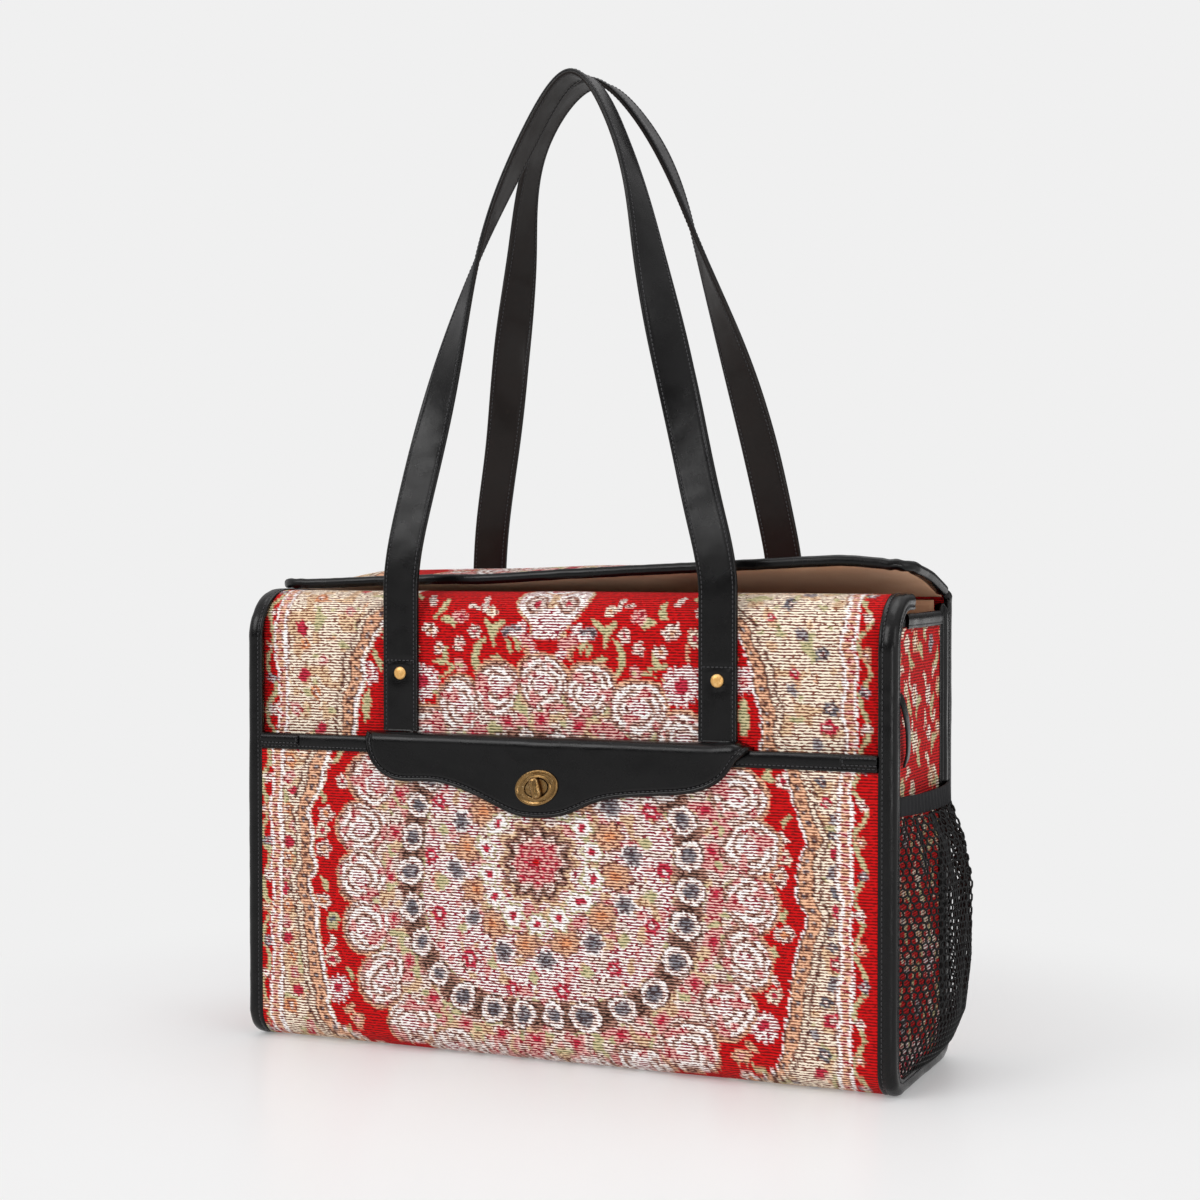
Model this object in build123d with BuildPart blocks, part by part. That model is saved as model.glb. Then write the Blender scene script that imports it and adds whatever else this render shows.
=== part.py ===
# Carpet bag: a boxed cloth tote with a short hinged lid, a front slip pocket closed by
# a leather flap and a turn lock, two shoulder straps and a net pocket on one side.
# Millimetres. The origin is the centre of the base on the floor, the front faces -Y, +Z is up.
from build123d import *
from math import asin, cos, degrees, pi, radians, sin
import os

os.makedirs("parts", exist_ok=True)

# body
bag_length = 430.0
bag_depth = 122.0
front_top = 288.0
back_top = 284.0
gusset_top = 277.0
lip_end = -24.0  # where the front panel stops, after it bends back under the lid
bend_radius = 24.0
corner_radius = 19.0
cloth = 2.0
seam_gap = 0.2

# bindings over the long seams of the two ends
binding_width = 11.0
binding_cover = 8.0
binding_proud = 0.8
end_cloth_inset = 2.0  # the end panels sit this far inside the outer face of the binding

# linings and the board in the base
lining = 0.8
lining_inset = 3.6
board_thickness = 2.5
board_margin = 6.0

# front slip pocket
pocket_gap = 5.0
pocket_mouth = 187.0
pocket_trim = 10.0
pocket_trim_proud = 1.0

# leather flap over the pocket mouth
flap_left = -126.0
flap_right = 127.0
flap_top = 200.2
flap_edge = 172.5
flap_lobe = 154.5
flap_leather = 2.4
flap_stand = 2.6  # from the pocket panel's face to the back of the flap

# turn lock
lock_x = -7.0
lock_z = 170.2
lock_tilt = 15.0
plate_length = 29.0
plate_height = 21.5
plate_thickness = 1.6
eye_length = 16.0
eye_height = 11.5
eye_wall = 0.8
back_plate_thickness = 0.6
base_length = 22.0
base_height = 15.0
base_thickness = 1.2
tower_gap = 0.55
boss_radius = 3.5
stem_radius = 2.2
running_gap = 0.05
knob_length = 13.5
knob_width = 6.5
knob_thickness = 3.4
washer_thickness = 0.7

# shoulder straps
strap_width = 24.0
strap_leather = 3.2
strap_x = 105.5
tab_bottom = flap_top + 0.6
tab_top = 288.0  # straight up to here, then leaning in over the bag
twist_start = 360.0
twist_end = 580.0
strap_spans = 30
lean_end = 600.0

# rivets
rivet_z = 237.0
rivet_radius = 4.0
rivet_height = 1.7
post_radius = 1.5
rivet_back_radius = 4.5
rivet_back_thickness = 1.0

# lid
lid_reach = 86.0
lid_set_back = 3.5  # the fold lies this far inside the back panel's outer face
lid_clearance = 0.3
lid_raise = 12.0  # how much further the right end stands open at rest, degrees
lid_binding_width = 6.0
lid_binding_height = 5.0
lid_spans = 4

# net pocket on the right end
net_thickness = 1.2
net_top = 161.5
net_floor = 9.0
net_margin = 1.0
band_height = 11.0
band_thickness = 2.0
band_bulge = 9.0
# share of the height, bulge, and how far each edge is drawn in at the rounded foot
net_shape = [(0.0, 6.0, 9.0), (0.14, 21.0, 0.0), (0.4, 26.5, 0.0), (0.7, 26.5, 0.0), (0.87, 21.0, 0.0), (1.0, 9.5, 0.0)]

# small leather tab on the right end
tab_strip_width = 9.0
tab_strip_thickness = 1.6
tab_strip_low = 190.0
tab_strip_high = 229.0

# levels worked out from the sizes above
half_length = bag_length / 2
front_face = -bag_depth / 2
back_face = bag_depth / 2
pocket_back = front_face - pocket_gap
pocket_face = pocket_back - cloth
binding_front = pocket_face - binding_proud
binding_back = back_face + binding_proud
binding_inner_front = front_face + end_cloth_inset
binding_inner_back = back_face - 5.5
end_outer = half_length - end_cloth_inset
end_inner = end_outer - cloth
cloth_end = half_length - binding_width
flap_back = pocket_face - flap_stand
flap_face = flap_back - flap_leather
plate_face = flap_face - plate_thickness
knob_back = plate_face - 0.25
lining_front = front_face + lining_inset
board_bottom = 2 * cloth + seam_gap
lining_base = board_bottom + board_thickness + seam_gap


def wrap_points(front, back, base, front_height, back_height):
    # the side line of a sheet: from the lip, down the front, under the base and up the back
    return [(lip_end, front_height), (front, front_height), (front, base), (back, base), (back, back_height)]


def wrap_section(outside, inside, outside_radii, inside_radii):
    with BuildSketch(Plane.YZ) as section:
        with BuildLine():
            outer_line = FilletPolyline(*outside, radius=outside_radii)
            inner_line = FilletPolyline(*inside, radius=inside_radii)
            Line(outer_line @ 0, inner_line @ 0)
            Line(outer_line @ 1, inner_line @ 1)
        make_face()
    return section.sketch


def wrap_sheet(front, back, base, front_height, back_height, thickness, bend, corner):
    outside = wrap_points(front, back, base, front_height, back_height)
    inside = wrap_points(
        front + thickness, back - thickness, base + thickness, front_height - thickness, back_height
    )
    return wrap_section(
        outside, inside, [bend, corner, corner], [bend - thickness, corner - thickness, corner - thickness]
    )


def save(piece, name):
    piece.label = name
    export_step(piece, f"parts/{name}.step")


# ---- outer cloth: one strip that is the front, the base and the back ----
outer_strip = wrap_sheet(
    front_face, back_face, cloth, front_top, back_top, cloth, bend_radius, corner_radius - cloth
)
with BuildPart() as outer_panel:
    extrude(outer_strip, amount=cloth_end, both=True)
    with Locations((-strap_x, front_face, rivet_z), (strap_x, front_face, rivet_z)):
        Cylinder(post_radius + 0.1, 4 * cloth, rotation=(90, 0, 0), mode=Mode.SUBTRACT)
    with Locations((-strap_x, back_face, rivet_z), (strap_x, back_face, rivet_z)):
        Cylinder(post_radius + 0.1, 4 * cloth, rotation=(90, 0, 0), mode=Mode.SUBTRACT)
save(outer_panel.part, "outer_panel")

# ---- pocket panel: covers the lower front and runs on under the base ----
pocket_end = back_face - corner_radius
with BuildSketch(Plane.YZ) as pocket_strip:
    with BuildLine():
        pocket_outer = FilletPolyline(
            (pocket_face, pocket_mouth), (pocket_face, 0), (pocket_end, 0), radius=corner_radius
        )
        pocket_inner = FilletPolyline(
            (pocket_back, pocket_mouth), (pocket_back, cloth), (pocket_end, cloth), radius=corner_radius - cloth
        )
        Line(pocket_outer @ 0, pocket_inner @ 0)
        Line(pocket_outer @ 1, pocket_inner @ 1)
    make_face()
with BuildPart() as pocket_panel:
    extrude(pocket_strip.sketch, amount=cloth_end, both=True)
    with Locations((lock_x, pocket_face, lock_z)):
        Cylinder(boss_radius + 0.1, 4 * cloth, rotation=(90, 0, 0), mode=Mode.SUBTRACT)
save(pocket_panel.part, "pocket_panel")

# ---- leather trim along the pocket mouth ----
with BuildPart() as pocket_binding:
    with BuildSketch(Plane.XY.offset(pocket_mouth)):
        with Locations((0, (pocket_face - pocket_trim_proud + pocket_back) / 2)):
            Rectangle(2 * cloth_end, cloth + pocket_trim_proud)
    extrude(amount=pocket_trim)
    fillet(pocket_binding.edges().filter_by(Axis.X).group_by(Axis.Y)[0], radius=0.9)
save(pocket_binding.part, "pocket_binding")

# ---- bindings over the long end seams: down the front, under the base, up the back ----
ring_outside = wrap_points(binding_front, binding_back, 0, front_top + binding_proud, back_top)
ring_inside = wrap_points(
    binding_inner_front, binding_inner_back, binding_cover, front_top - binding_cover, back_top
)
ring = wrap_section(
    ring_outside,
    ring_inside,
    [bend_radius + binding_cover, corner_radius, corner_radius],
    [bend_radius - binding_cover / 2, corner_radius - binding_cover, corner_radius - binding_cover],
)
for side, name in ((-1, "left_edge_binding"), (1, "right_edge_binding")):
    with BuildPart() as edge_binding:
        extrude(ring, amount=binding_width, dir=(1, 0, 0))
    placed = Pos(cloth_end, 0, 0) * edge_binding.part
    if side < 0:
        placed = mirror(placed, about=Plane.YZ)
    save(placed, name)

# ---- end panels, with a strip of binding along their top edge ----
trim_height = 9.0
end_cloth_top = gusset_top - trim_height
end_inside = wrap_points(
    binding_inner_front + seam_gap,
    binding_inner_back - seam_gap,
    binding_cover + seam_gap,
    end_cloth_top,
    end_cloth_top,
)
end_radii = [bend_radius - binding_cover / 2, corner_radius - binding_cover, corner_radius - binding_cover]


def end_section(x):
    # the flat shape of an end panel, closed along its top edge
    with BuildSketch(Plane.YZ.offset(x)) as section:
        with BuildLine():
            edge = FilletPolyline(*end_inside, radius=end_radii)
            Line(edge @ 1, edge @ 0)
        make_face()
    return section.sketch


for side, name in ((-1, "left_gusset"), (1, "right_gusset")):
    end_face = end_section(side * (end_outer - cloth / 2))
    with BuildPart() as gusset:
        extrude(end_face, amount=cloth / 2, both=True)
    save(gusset.part, name)

for side, name in ((-1, "left_gusset_binding"), (1, "right_gusset_binding")):
    with BuildPart() as gusset_binding:
        with BuildSketch(Plane.YZ.offset(side * (end_outer - cloth / 2))):
            with BuildLine():
                Polyline(
                    (lip_end, end_cloth_top),
                    (binding_inner_back - seam_gap, end_cloth_top),
                    (binding_inner_back - seam_gap, gusset_top),
                    (lip_end, gusset_top),
                    close=True,
                )
            make_face()
        extrude(amount=cloth, both=True)
    save(gusset_binding.part, name)

# ---- tan lining: a strip like the outer cloth, and one panel at each end ----
lining_strip_section = wrap_sheet(
    lining_front,
    back_face - lining_inset,
    lining_base,
    front_top - lining_inset,
    back_top - 1.0,
    lining,
    bend_radius - lining_inset,
    corner_radius - lining_inset - cloth,
)
with BuildPart() as lining_strip:
    extrude(lining_strip_section, amount=cloth_end - seam_gap, both=True)
save(lining_strip.part, "lining_strip")

for side, name in ((-1, "left_lining"), (1, "right_lining")):
    end_face = end_section(side * (end_inner - seam_gap - lining / 2))
    with BuildPart() as end_lining:
        extrude(end_face, amount=lining / 2, both=True)
    save(end_lining.part, name)

# ---- stiff board between the outer cloth and the lining of the base ----
with BuildPart() as base_board:
    with BuildSketch(Plane.XY.offset(board_bottom)):
        RectangleRounded(
            2 * (cloth_end - board_margin), bag_depth - 2 * (corner_radius + cloth), radius=8
        )
    extrude(amount=board_thickness)
save(base_board.part, "base_board")


# ---- leather flap: folds out over the pocket mouth and hangs down to a central lobe ----
lobe_half = 36.0
lobe_shoulder = 68.0
end_sweep = 21.0
lock_origin = (lock_x, 0, lock_z)
lock_x_dir = (cos(radians(lock_tilt)), 0, sin(radians(lock_tilt)))


def lock_level(depth):
    # a plane across the lock's axis, facing out of the front
    return Plane(origin=(lock_x, depth, lock_z), x_dir=lock_x_dir, z_dir=(0, -1, 0))


with BuildPart() as pocket_flap:
    with BuildSketch(Plane.XZ.offset(-flap_back)):
        with BuildLine():
            flap_line = Spline(
                (flap_left, flap_top),
                (flap_left + end_sweep / 3, flap_edge + 4),
                (flap_left + end_sweep, flap_edge - 0.5),
                (lock_x - lobe_shoulder, flap_edge - 1.5),
                (lock_x - lobe_half, flap_edge - 11),
                (lock_x, flap_lobe),
                (lock_x + lobe_half, flap_edge - 9.5),
                (lock_x + lobe_shoulder, flap_edge - 4),
                (flap_right - end_sweep, flap_edge + 3),
                (flap_right, flap_top),
            )
            Line(flap_line @ 1, flap_line @ 0)
        make_face()
    extrude(amount=flap_leather)
    with BuildSketch(Plane.XY.offset(flap_top)):
        with Locations(((flap_left + flap_right) / 2, (flap_face + front_face - seam_gap) / 2)):
            Rectangle(flap_right - flap_left, front_face - seam_gap - flap_face)
    extrude(amount=-flap_leather)
    with BuildSketch(lock_level(flap_back)):
        Ellipse(eye_length / 2 + eye_wall + 0.1, eye_height / 2 + eye_wall + 0.1)
    extrude(amount=2 * flap_leather, both=True, mode=Mode.SUBTRACT)
save(pocket_flap.part, "pocket_flap")

# ---- turn lock ----
with BuildPart() as lock_plate:
    with BuildSketch(lock_level(flap_face)):
        Ellipse(plate_length / 2, plate_height / 2)
    extrude(amount=plate_thickness)
    fillet(lock_plate.edges().group_by(Axis.Y)[0], radius=0.7)
    with BuildSketch(lock_level(flap_back + back_plate_thickness)):
        Ellipse(eye_length / 2 + eye_wall, eye_height / 2 + eye_wall)
    extrude(amount=flap_leather + back_plate_thickness)
    with BuildSketch(lock_level(flap_back + 2 * back_plate_thickness)):
        Ellipse(eye_length / 2, eye_height / 2)
    extrude(amount=4 * flap_leather, mode=Mode.SUBTRACT)
save(lock_plate.part, "lock_plate")

with BuildPart() as lock_back_plate:
    with BuildSketch(lock_level(flap_back + back_plate_thickness)):
        Ellipse(plate_length / 2 - 1.5, plate_height / 2 - 1.5)
        Ellipse(eye_length / 2 + eye_wall + 0.1, eye_height / 2 + eye_wall + 0.1, mode=Mode.SUBTRACT)
    extrude(amount=back_plate_thickness - 0.05)
save(lock_back_plate.part, "lock_back_plate")

tower_top = plate_face + 0.4
stem_end = pocket_face - 1.8
with BuildPart() as lock_base:
    with BuildSketch(lock_level(pocket_face)):
        Ellipse(base_length / 2, base_height / 2)
    extrude(amount=base_thickness)
    with BuildSketch(lock_level(pocket_face)):
        Ellipse(eye_length / 2 - tower_gap, eye_height / 2 - tower_gap)
    extrude(amount=pocket_face - tower_top)
    with BuildSketch(lock_level(pocket_face)):
        Circle(boss_radius)
    extrude(amount=-cloth - washer_thickness)
    with BuildSketch(lock_level(stem_end)):
        Circle(stem_radius + running_gap)
    extrude(amount=stem_end - tower_top, mode=Mode.SUBTRACT)
save(lock_base.part, "lock_base")

with BuildPart() as lock_washer:
    with BuildSketch(lock_level(pocket_back)):
        Ellipse(base_length / 2 - 1, base_height / 2 - 1)
        Circle(boss_radius + 0.1, mode=Mode.SUBTRACT)
    extrude(amount=-washer_thickness)
save(lock_washer.part, "lock_washer")

with BuildPart() as lock_knob:
    with BuildSketch(lock_level(knob_back)):
        SlotOverall(knob_length, knob_width, rotation=90)
    extrude(amount=knob_thickness)
    fillet(lock_knob.edges().group_by(Axis.Y)[0], radius=1.2)
    with BuildSketch(lock_level(knob_back)):
        Circle(stem_radius)
    extrude(amount=knob_back - (stem_end - 0.2))
save(lock_knob.part, "lock_knob")


# ---- shoulder straps: wide face outwards at the tabs, turned a quarter at the top ----
front_route = [
    (-strap_x, tab_top), (-100.5, 340), (-87, 410), (-67, 500), (-37, 575), (-7, 611.5),
    (22, 575), (49, 495), (78, 395), (95, 335), (strap_x, tab_top),
]
rear_route = [
    (-strap_x, tab_top), (-100, 333), (-89, 384), (-77, 448), (-65, 508), (-38, 590), (-8, 612),
    (22, 590), (59, 502), (76.5, 443), (92, 381), (101, 333), (strap_x, tab_top),
]
strap_face = front_face - seam_gap
strap_middle = strap_face - strap_leather / 2
apex_y = -strap_width / 2 - 1.5


def strap_depth(height):
    # how far in front of the bag's middle a strap's centre line is at a height
    rise = min(max((height - tab_top) / (lean_end - tab_top), 0), 1)
    return strap_middle + (apex_y - strap_middle) * rise**1.1


def strap_plane(line, place, side):
    point = line.position_at(place)
    tangent = line.tangent_at(place)
    turn = min(max((point.Z - twist_start) / (twist_end - twist_start), 0), 1)
    angle = pi / 2 * turn * turn * (3 - 2 * turn)
    leg = 1 if place < 0.5 else -1
    across = Vector(leg * cos(angle), side * sin(angle), 0)
    across = (across - tangent * across.dot(tangent)).normalized()
    return Plane(origin=point, x_dir=across, z_dir=tangent)


for side, route, name in ((-1, front_route, "front_handle"), (1, rear_route, "rear_handle")):
    points = [(x, -side * strap_depth(z), z) for x, z in route]
    with BuildLine():
        strap_line = Spline(*points, tangents=[(0, 0, 1), (0, 0, -1)])
    with BuildPart() as handle:
        for step in range(strap_spans):
            for place in (step / strap_spans, (step + 1) / strap_spans):
                with BuildSketch(strap_plane(strap_line, place, side)):
                    Rectangle(strap_width, strap_leather)
            loft(ruled=True)
        for x in (-strap_x, strap_x):
            with BuildSketch(Plane.XY.offset(tab_bottom)):
                with Locations((x, -side * strap_middle)):
                    Rectangle(strap_width, strap_leather)
            extrude(amount=tab_top - tab_bottom)
        with Locations((-strap_x, -side * strap_middle, rivet_z), (strap_x, -side * strap_middle, rivet_z)):
            Cylinder(post_radius + 0.1, 3 * strap_leather, rotation=(90, 0, 0), mode=Mode.SUBTRACT)
    save(handle.part, name)

# ---- rivets: a domed cap with a post through strap and cloth, and a flat back inside ----
strap_outer = strap_face - strap_leather
panel_inner = front_face + cloth
rivet_end = panel_inner + rivet_back_thickness
for side, place in ((1, "front"), (-1, "rear")):
    with BuildPart() as rivet_caps:
        for x in (-strap_x, strap_x):
            cap_plane = Plane(origin=(x, side * strap_outer, rivet_z), x_dir=(1, 0, 0), z_dir=(0, -side, 0))
            with BuildSketch(cap_plane):
                Circle(rivet_radius)
            extrude(amount=rivet_height, taper=28)
            with BuildSketch(cap_plane):
                Circle(post_radius)
            extrude(amount=-(rivet_end - strap_outer))
    save(rivet_caps.part, f"{place}_rivet_caps")
    with BuildPart() as rivet_backs:
        for x in (-strap_x, strap_x):
            back_plane = Plane(origin=(x, side * (panel_inner + 0.1), rivet_z), x_dir=(1, 0, 0), z_dir=(0, side, 0))
            with BuildSketch(back_plane):
                Circle(rivet_back_radius)
                Circle(post_radius + 0.1, mode=Mode.SUBTRACT)
            extrude(amount=rivet_back_thickness)
    save(rivet_backs.part, f"{place}_rivet_backs")

# ---- lid: turns about the fold at the top of the back, and stands further open at its right ----
hinge_y = back_face - lid_set_back
hinge_z = back_top + 2 * lid_clearance
rest_angle = asin((front_top + binding_proud + 2 * lid_clearance - hinge_z) / (hinge_y - lip_end))
lid_half = half_length - lid_binding_width


def lid_angle(x):
    along = (x + half_length) / bag_length
    return rest_angle + radians(lid_raise) * along ** 1.3


def lid_point(x, reach, height):
    angle = lid_angle(x)
    return (
        hinge_y - reach * cos(angle) + height * sin(angle),
        hinge_z + reach * sin(angle) + height * cos(angle),
    )


def lid_outline(x, reaches, heights):
    with BuildSketch(Plane.YZ.offset(x)) as outline:
        with BuildLine():
            Polyline(
                lid_point(x, reaches[0], heights[0]),
                lid_point(x, reaches[1], heights[0]),
                lid_point(x, reaches[1], heights[1]),
                lid_point(x, reaches[0], heights[1]),
                close=True,
            )
        make_face()
    return outline.sketch


lid_stations = [lid_half * (2 * step / lid_spans - 1) for step in range(lid_spans + 1)]
lid_layers = (("lid_lining", 0.0, lining), ("lid_panel", lining + seam_gap, lining + seam_gap + cloth))
for name, low, high in lid_layers:
    sections = [lid_outline(x, (0, lid_reach), (low, high)) for x in lid_stations]
    with BuildPart() as layer:
        loft(sections, ruled=True)
    save(layer.part, name)

binding_low = -lid_clearance
binding_high = binding_low + lid_binding_height
binding_reach = (lid_reach + seam_gap, lid_reach + lid_binding_width)
front_bars = [lid_outline(x, binding_reach, (binding_low, binding_high)) for x in lid_stations]
with BuildPart() as lid_binding:
    loft(front_bars, ruled=True)
    for side in (-1, 1):
        end_bar = lid_outline(side * lid_half, (0, binding_reach[1]), (binding_low, binding_high))
        extrude(end_bar, amount=lid_binding_width, dir=(side, 0, 0))
save(lid_binding.part, "lid_binding")

# ---- net pocket on the right end, with its elastic band ----
net_front = binding_inner_front + net_margin
net_back = binding_inner_back - net_margin
net_middle = (net_front + net_back) / 2
net_wall = end_outer + seam_gap


def bulge_face(height, bulge, drawn_in, inset):
    # a D-shaped slice of the pocket against the end panel; an inset slice runs on through the flat side
    front = net_front + drawn_in + inset
    back = net_back - drawn_in - inset
    with BuildSketch(Plane.XY.offset(height)) as slice_face:
        with BuildLine():
            ThreePointArc((net_wall, front), (net_wall + bulge - inset, net_middle), (net_wall, back))
            if inset > 0:
                Polyline((net_wall, back), (net_wall - inset, back), (net_wall - inset, front), (net_wall, front))
            else:
                Line((net_wall, back), (net_wall, front))
        make_face()
    return slice_face.sketch


net_height = net_top - net_floor
net_outer = [
    bulge_face(net_floor + share * net_height, bulge, drawn_in, 0) for share, bulge, drawn_in in net_shape
]
inner_floor = net_floor + net_thickness
net_inner = [
    bulge_face(inner_floor + share * (net_top - inner_floor), bulge, drawn_in, net_thickness)
    for share, bulge, drawn_in in net_shape
]
with BuildPart() as mesh_pocket:
    loft(net_outer, ruled=True)
    loft(net_inner, ruled=True, mode=Mode.SUBTRACT)
save(mesh_pocket.part, "mesh_pocket")

band_outer = bulge_face(net_top, band_bulge, 0, 0)
band_inner = bulge_face(net_top, band_bulge, 0, band_thickness)
with BuildPart() as mesh_band:
    extrude(band_outer, amount=band_height)
    extrude(band_inner, amount=band_height, mode=Mode.SUBTRACT)
save(mesh_band.part, "mesh_band")

# ---- small leather tab sewn into the front seam of the right end ----
with BuildPart() as side_tab:
    with BuildSketch(Plane.YZ.offset(end_outer + seam_gap)):
        with Locations((binding_inner_front + 8, (tab_strip_low + tab_strip_high) / 2)):
            RectangleRounded(tab_strip_width, tab_strip_high - tab_strip_low, radius=2)
    extrude(amount=tab_strip_thickness)
save(side_tab.part, "side_tab")
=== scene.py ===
# Carpet bag: woven cloth, black leather, brass and net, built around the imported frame.
import math

import bpy
import numpy as np
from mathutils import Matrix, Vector


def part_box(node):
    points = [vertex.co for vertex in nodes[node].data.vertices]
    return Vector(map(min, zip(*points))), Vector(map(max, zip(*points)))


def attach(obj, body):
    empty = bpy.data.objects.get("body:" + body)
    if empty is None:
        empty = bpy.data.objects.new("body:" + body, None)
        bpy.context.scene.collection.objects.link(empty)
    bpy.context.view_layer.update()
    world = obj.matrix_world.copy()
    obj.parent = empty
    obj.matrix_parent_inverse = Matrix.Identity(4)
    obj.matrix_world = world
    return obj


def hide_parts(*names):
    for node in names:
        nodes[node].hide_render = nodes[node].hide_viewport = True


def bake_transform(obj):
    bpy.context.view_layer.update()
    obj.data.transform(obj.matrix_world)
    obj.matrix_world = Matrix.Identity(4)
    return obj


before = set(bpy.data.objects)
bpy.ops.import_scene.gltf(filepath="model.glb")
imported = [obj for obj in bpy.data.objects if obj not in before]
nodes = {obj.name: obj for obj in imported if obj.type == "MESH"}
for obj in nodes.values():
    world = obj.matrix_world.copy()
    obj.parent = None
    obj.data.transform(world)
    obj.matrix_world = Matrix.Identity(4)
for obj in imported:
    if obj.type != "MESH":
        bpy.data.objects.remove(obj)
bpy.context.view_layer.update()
print("frame loaded")


def nodeBox(name):
    low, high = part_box(name)
    return np.array(low) * 1000, np.array(high) * 1000  # millimetres


panelLow, panelHigh = nodeBox("outer_panel")
pocketLow, pocketHigh = nodeBox("pocket_panel")
edgeLow, edgeHigh = nodeBox("right_edge_binding")
frontFace, backFace = panelLow[1], panelHigh[1]
frontTop = panelHigh[2]
clothEnd = panelHigh[0]
halfLength = edgeHigh[0]


def linear(code):
    values = [int(code[place : place + 2], 16) / 255 for place in (0, 2, 4)]
    return tuple(v / 12.92 if v <= 0.04045 else ((v + 0.055) / 1.055) ** 2.4 for v in values) + (1.0,)


def fillSockets(tree, node, inputs):
    for key, value in inputs.items():
        if isinstance(value, bpy.types.Node):
            value = value.outputs[0]
        if isinstance(value, bpy.types.NodeSocket):
            tree.links.new(value, node.inputs[key])
        else:
            node.inputs[key].default_value = value


def addNode(tree, kind, settings=None, inputs=None):
    node = tree.nodes.new(kind)
    for key, value in (settings or {}).items():
        setattr(node, key, value)
    fillSockets(tree, node, inputs or {})
    return node


def ease(low, high, value):
    t = np.clip((value - low) / (high - low), 0, 1)
    return t * t * (3 - 2 * t)


def grain(x, y, seed):  # a fixed random number from 0 to 1 for each whole cell
    value = np.sin(np.floor(x) * 12.9898 + np.floor(y) * 78.233 + seed * 37.719) * 43758.5453
    return value - np.floor(value)


def drift(x, y, size, seed):  # smooth random field from 0 to 1, features as wide as size
    x, y = x / size, y / size
    left, low = np.floor(x), np.floor(y)
    a, b = ease(0, 1, x - left), ease(0, 1, y - low)
    top = grain(left, low + 1, seed) * (1 - a) + grain(left + 1, low + 1, seed) * a
    bottom = grain(left, low, seed) * (1 - a) + grain(left + 1, low, seed) * a
    return bottom * (1 - b) + top * b


def runLength(line):  # distance of each point from the start of its line
    return np.concatenate([[0], np.cumsum(np.linalg.norm(np.diff(line, axis=0), axis=1))])


def pointsAt(places, far, line):
    return np.stack([np.interp(places, far, line[:, k]) for k in range(line.shape[1])], 1)


def roundedPath(corners, radii, stations):
    # a line with rounded corners; stations is a step, or a rule that gives the step at a point
    pieces = []
    corners = [np.array(p, float) for p in corners]
    start = corners[0]
    for place in range(1, len(corners) - 1):
        before = (corners[place - 1] - corners[place]) / np.linalg.norm(corners[place - 1] - corners[place])
        after = (corners[place + 1] - corners[place]) / np.linalg.norm(corners[place + 1] - corners[place])
        radius = radii[place - 1]
        pieces.append((start, corners[place] + before * radius))
        centre = corners[place] + (before + after) * radius
        turns = np.linspace(0, math.pi / 2, 25)[1:]
        arc = [centre - after * radius * math.cos(t) - before * radius * math.sin(t) for t in turns]
        previous = corners[place] + before * radius
        for point in arc:
            pieces.append((previous, point))
            previous = point
        start = previous
    pieces.append((start, corners[-1]))
    line = np.array([pieces[0][0]] + [end for _, end in pieces])
    far = runLength(line)
    places = [0.0]
    while places[-1] < far[-1]:
        step = stations(pointsAt(places[-1:], far, line)[0]) if callable(stations) else stations
        places.append(places[-1] + step)
    places = np.array(places) * far[-1] / places[-1]
    points = pointsAt(places, far, line)
    along = np.gradient(points, places, axis=0)
    along /= np.linalg.norm(along, axis=1)[:, None]
    outward = np.stack([along[:, 1], -along[:, 0]], 1)
    return points, outward, places


def splineThrough(points, startWay, endWay, count):
    points = np.array(points, float)
    gaps = np.linalg.norm(np.diff(points, axis=0), axis=1)
    knots = np.concatenate([[0], np.cumsum(gaps)])
    size = len(points)
    matrix = np.eye(size)
    right = np.zeros_like(points)
    right[0], right[-1] = startWay, endWay
    for i in range(1, size - 1):
        matrix[i, i - 1 : i + 2] = gaps[i], 2 * (gaps[i - 1] + gaps[i]), gaps[i - 1]
        right[i] = 3 * (
            gaps[i] * (points[i] - points[i - 1]) / gaps[i - 1]
            + gaps[i - 1] * (points[i + 1] - points[i]) / gaps[i]
        )
    slopes = np.linalg.solve(matrix, right)
    places = np.linspace(0, knots[-1], count)
    spans = np.clip(np.searchsorted(knots, places, "right") - 1, 0, size - 2)
    width = gaps[spans]
    t = (places - knots[spans]) / width
    t, width = t[:, None], width[:, None]
    p, q, m, n = points[spans], points[spans + 1], slopes[spans] * width, slopes[spans + 1] * width
    line = (2 * t**3 - 3 * t**2 + 1) * p + (t**3 - 2 * t**2 + t) * m
    line += (3 * t**2 - 2 * t**3) * q + (t**3 - t**2) * n
    along = (6 * t**2 - 6 * t) * p + (3 * t**2 - 4 * t + 1) * m
    along = along + (6 * t - 6 * t**2) * q + (3 * t**2 - 2 * t) * n
    return line, along / np.linalg.norm(along, axis=1)[:, None]


def seatPiece(thing, body, node):
    # the body it moves with, and the plain solid it stands in for
    if body:
        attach(thing, body)
    if node:
        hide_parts(node)


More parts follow.
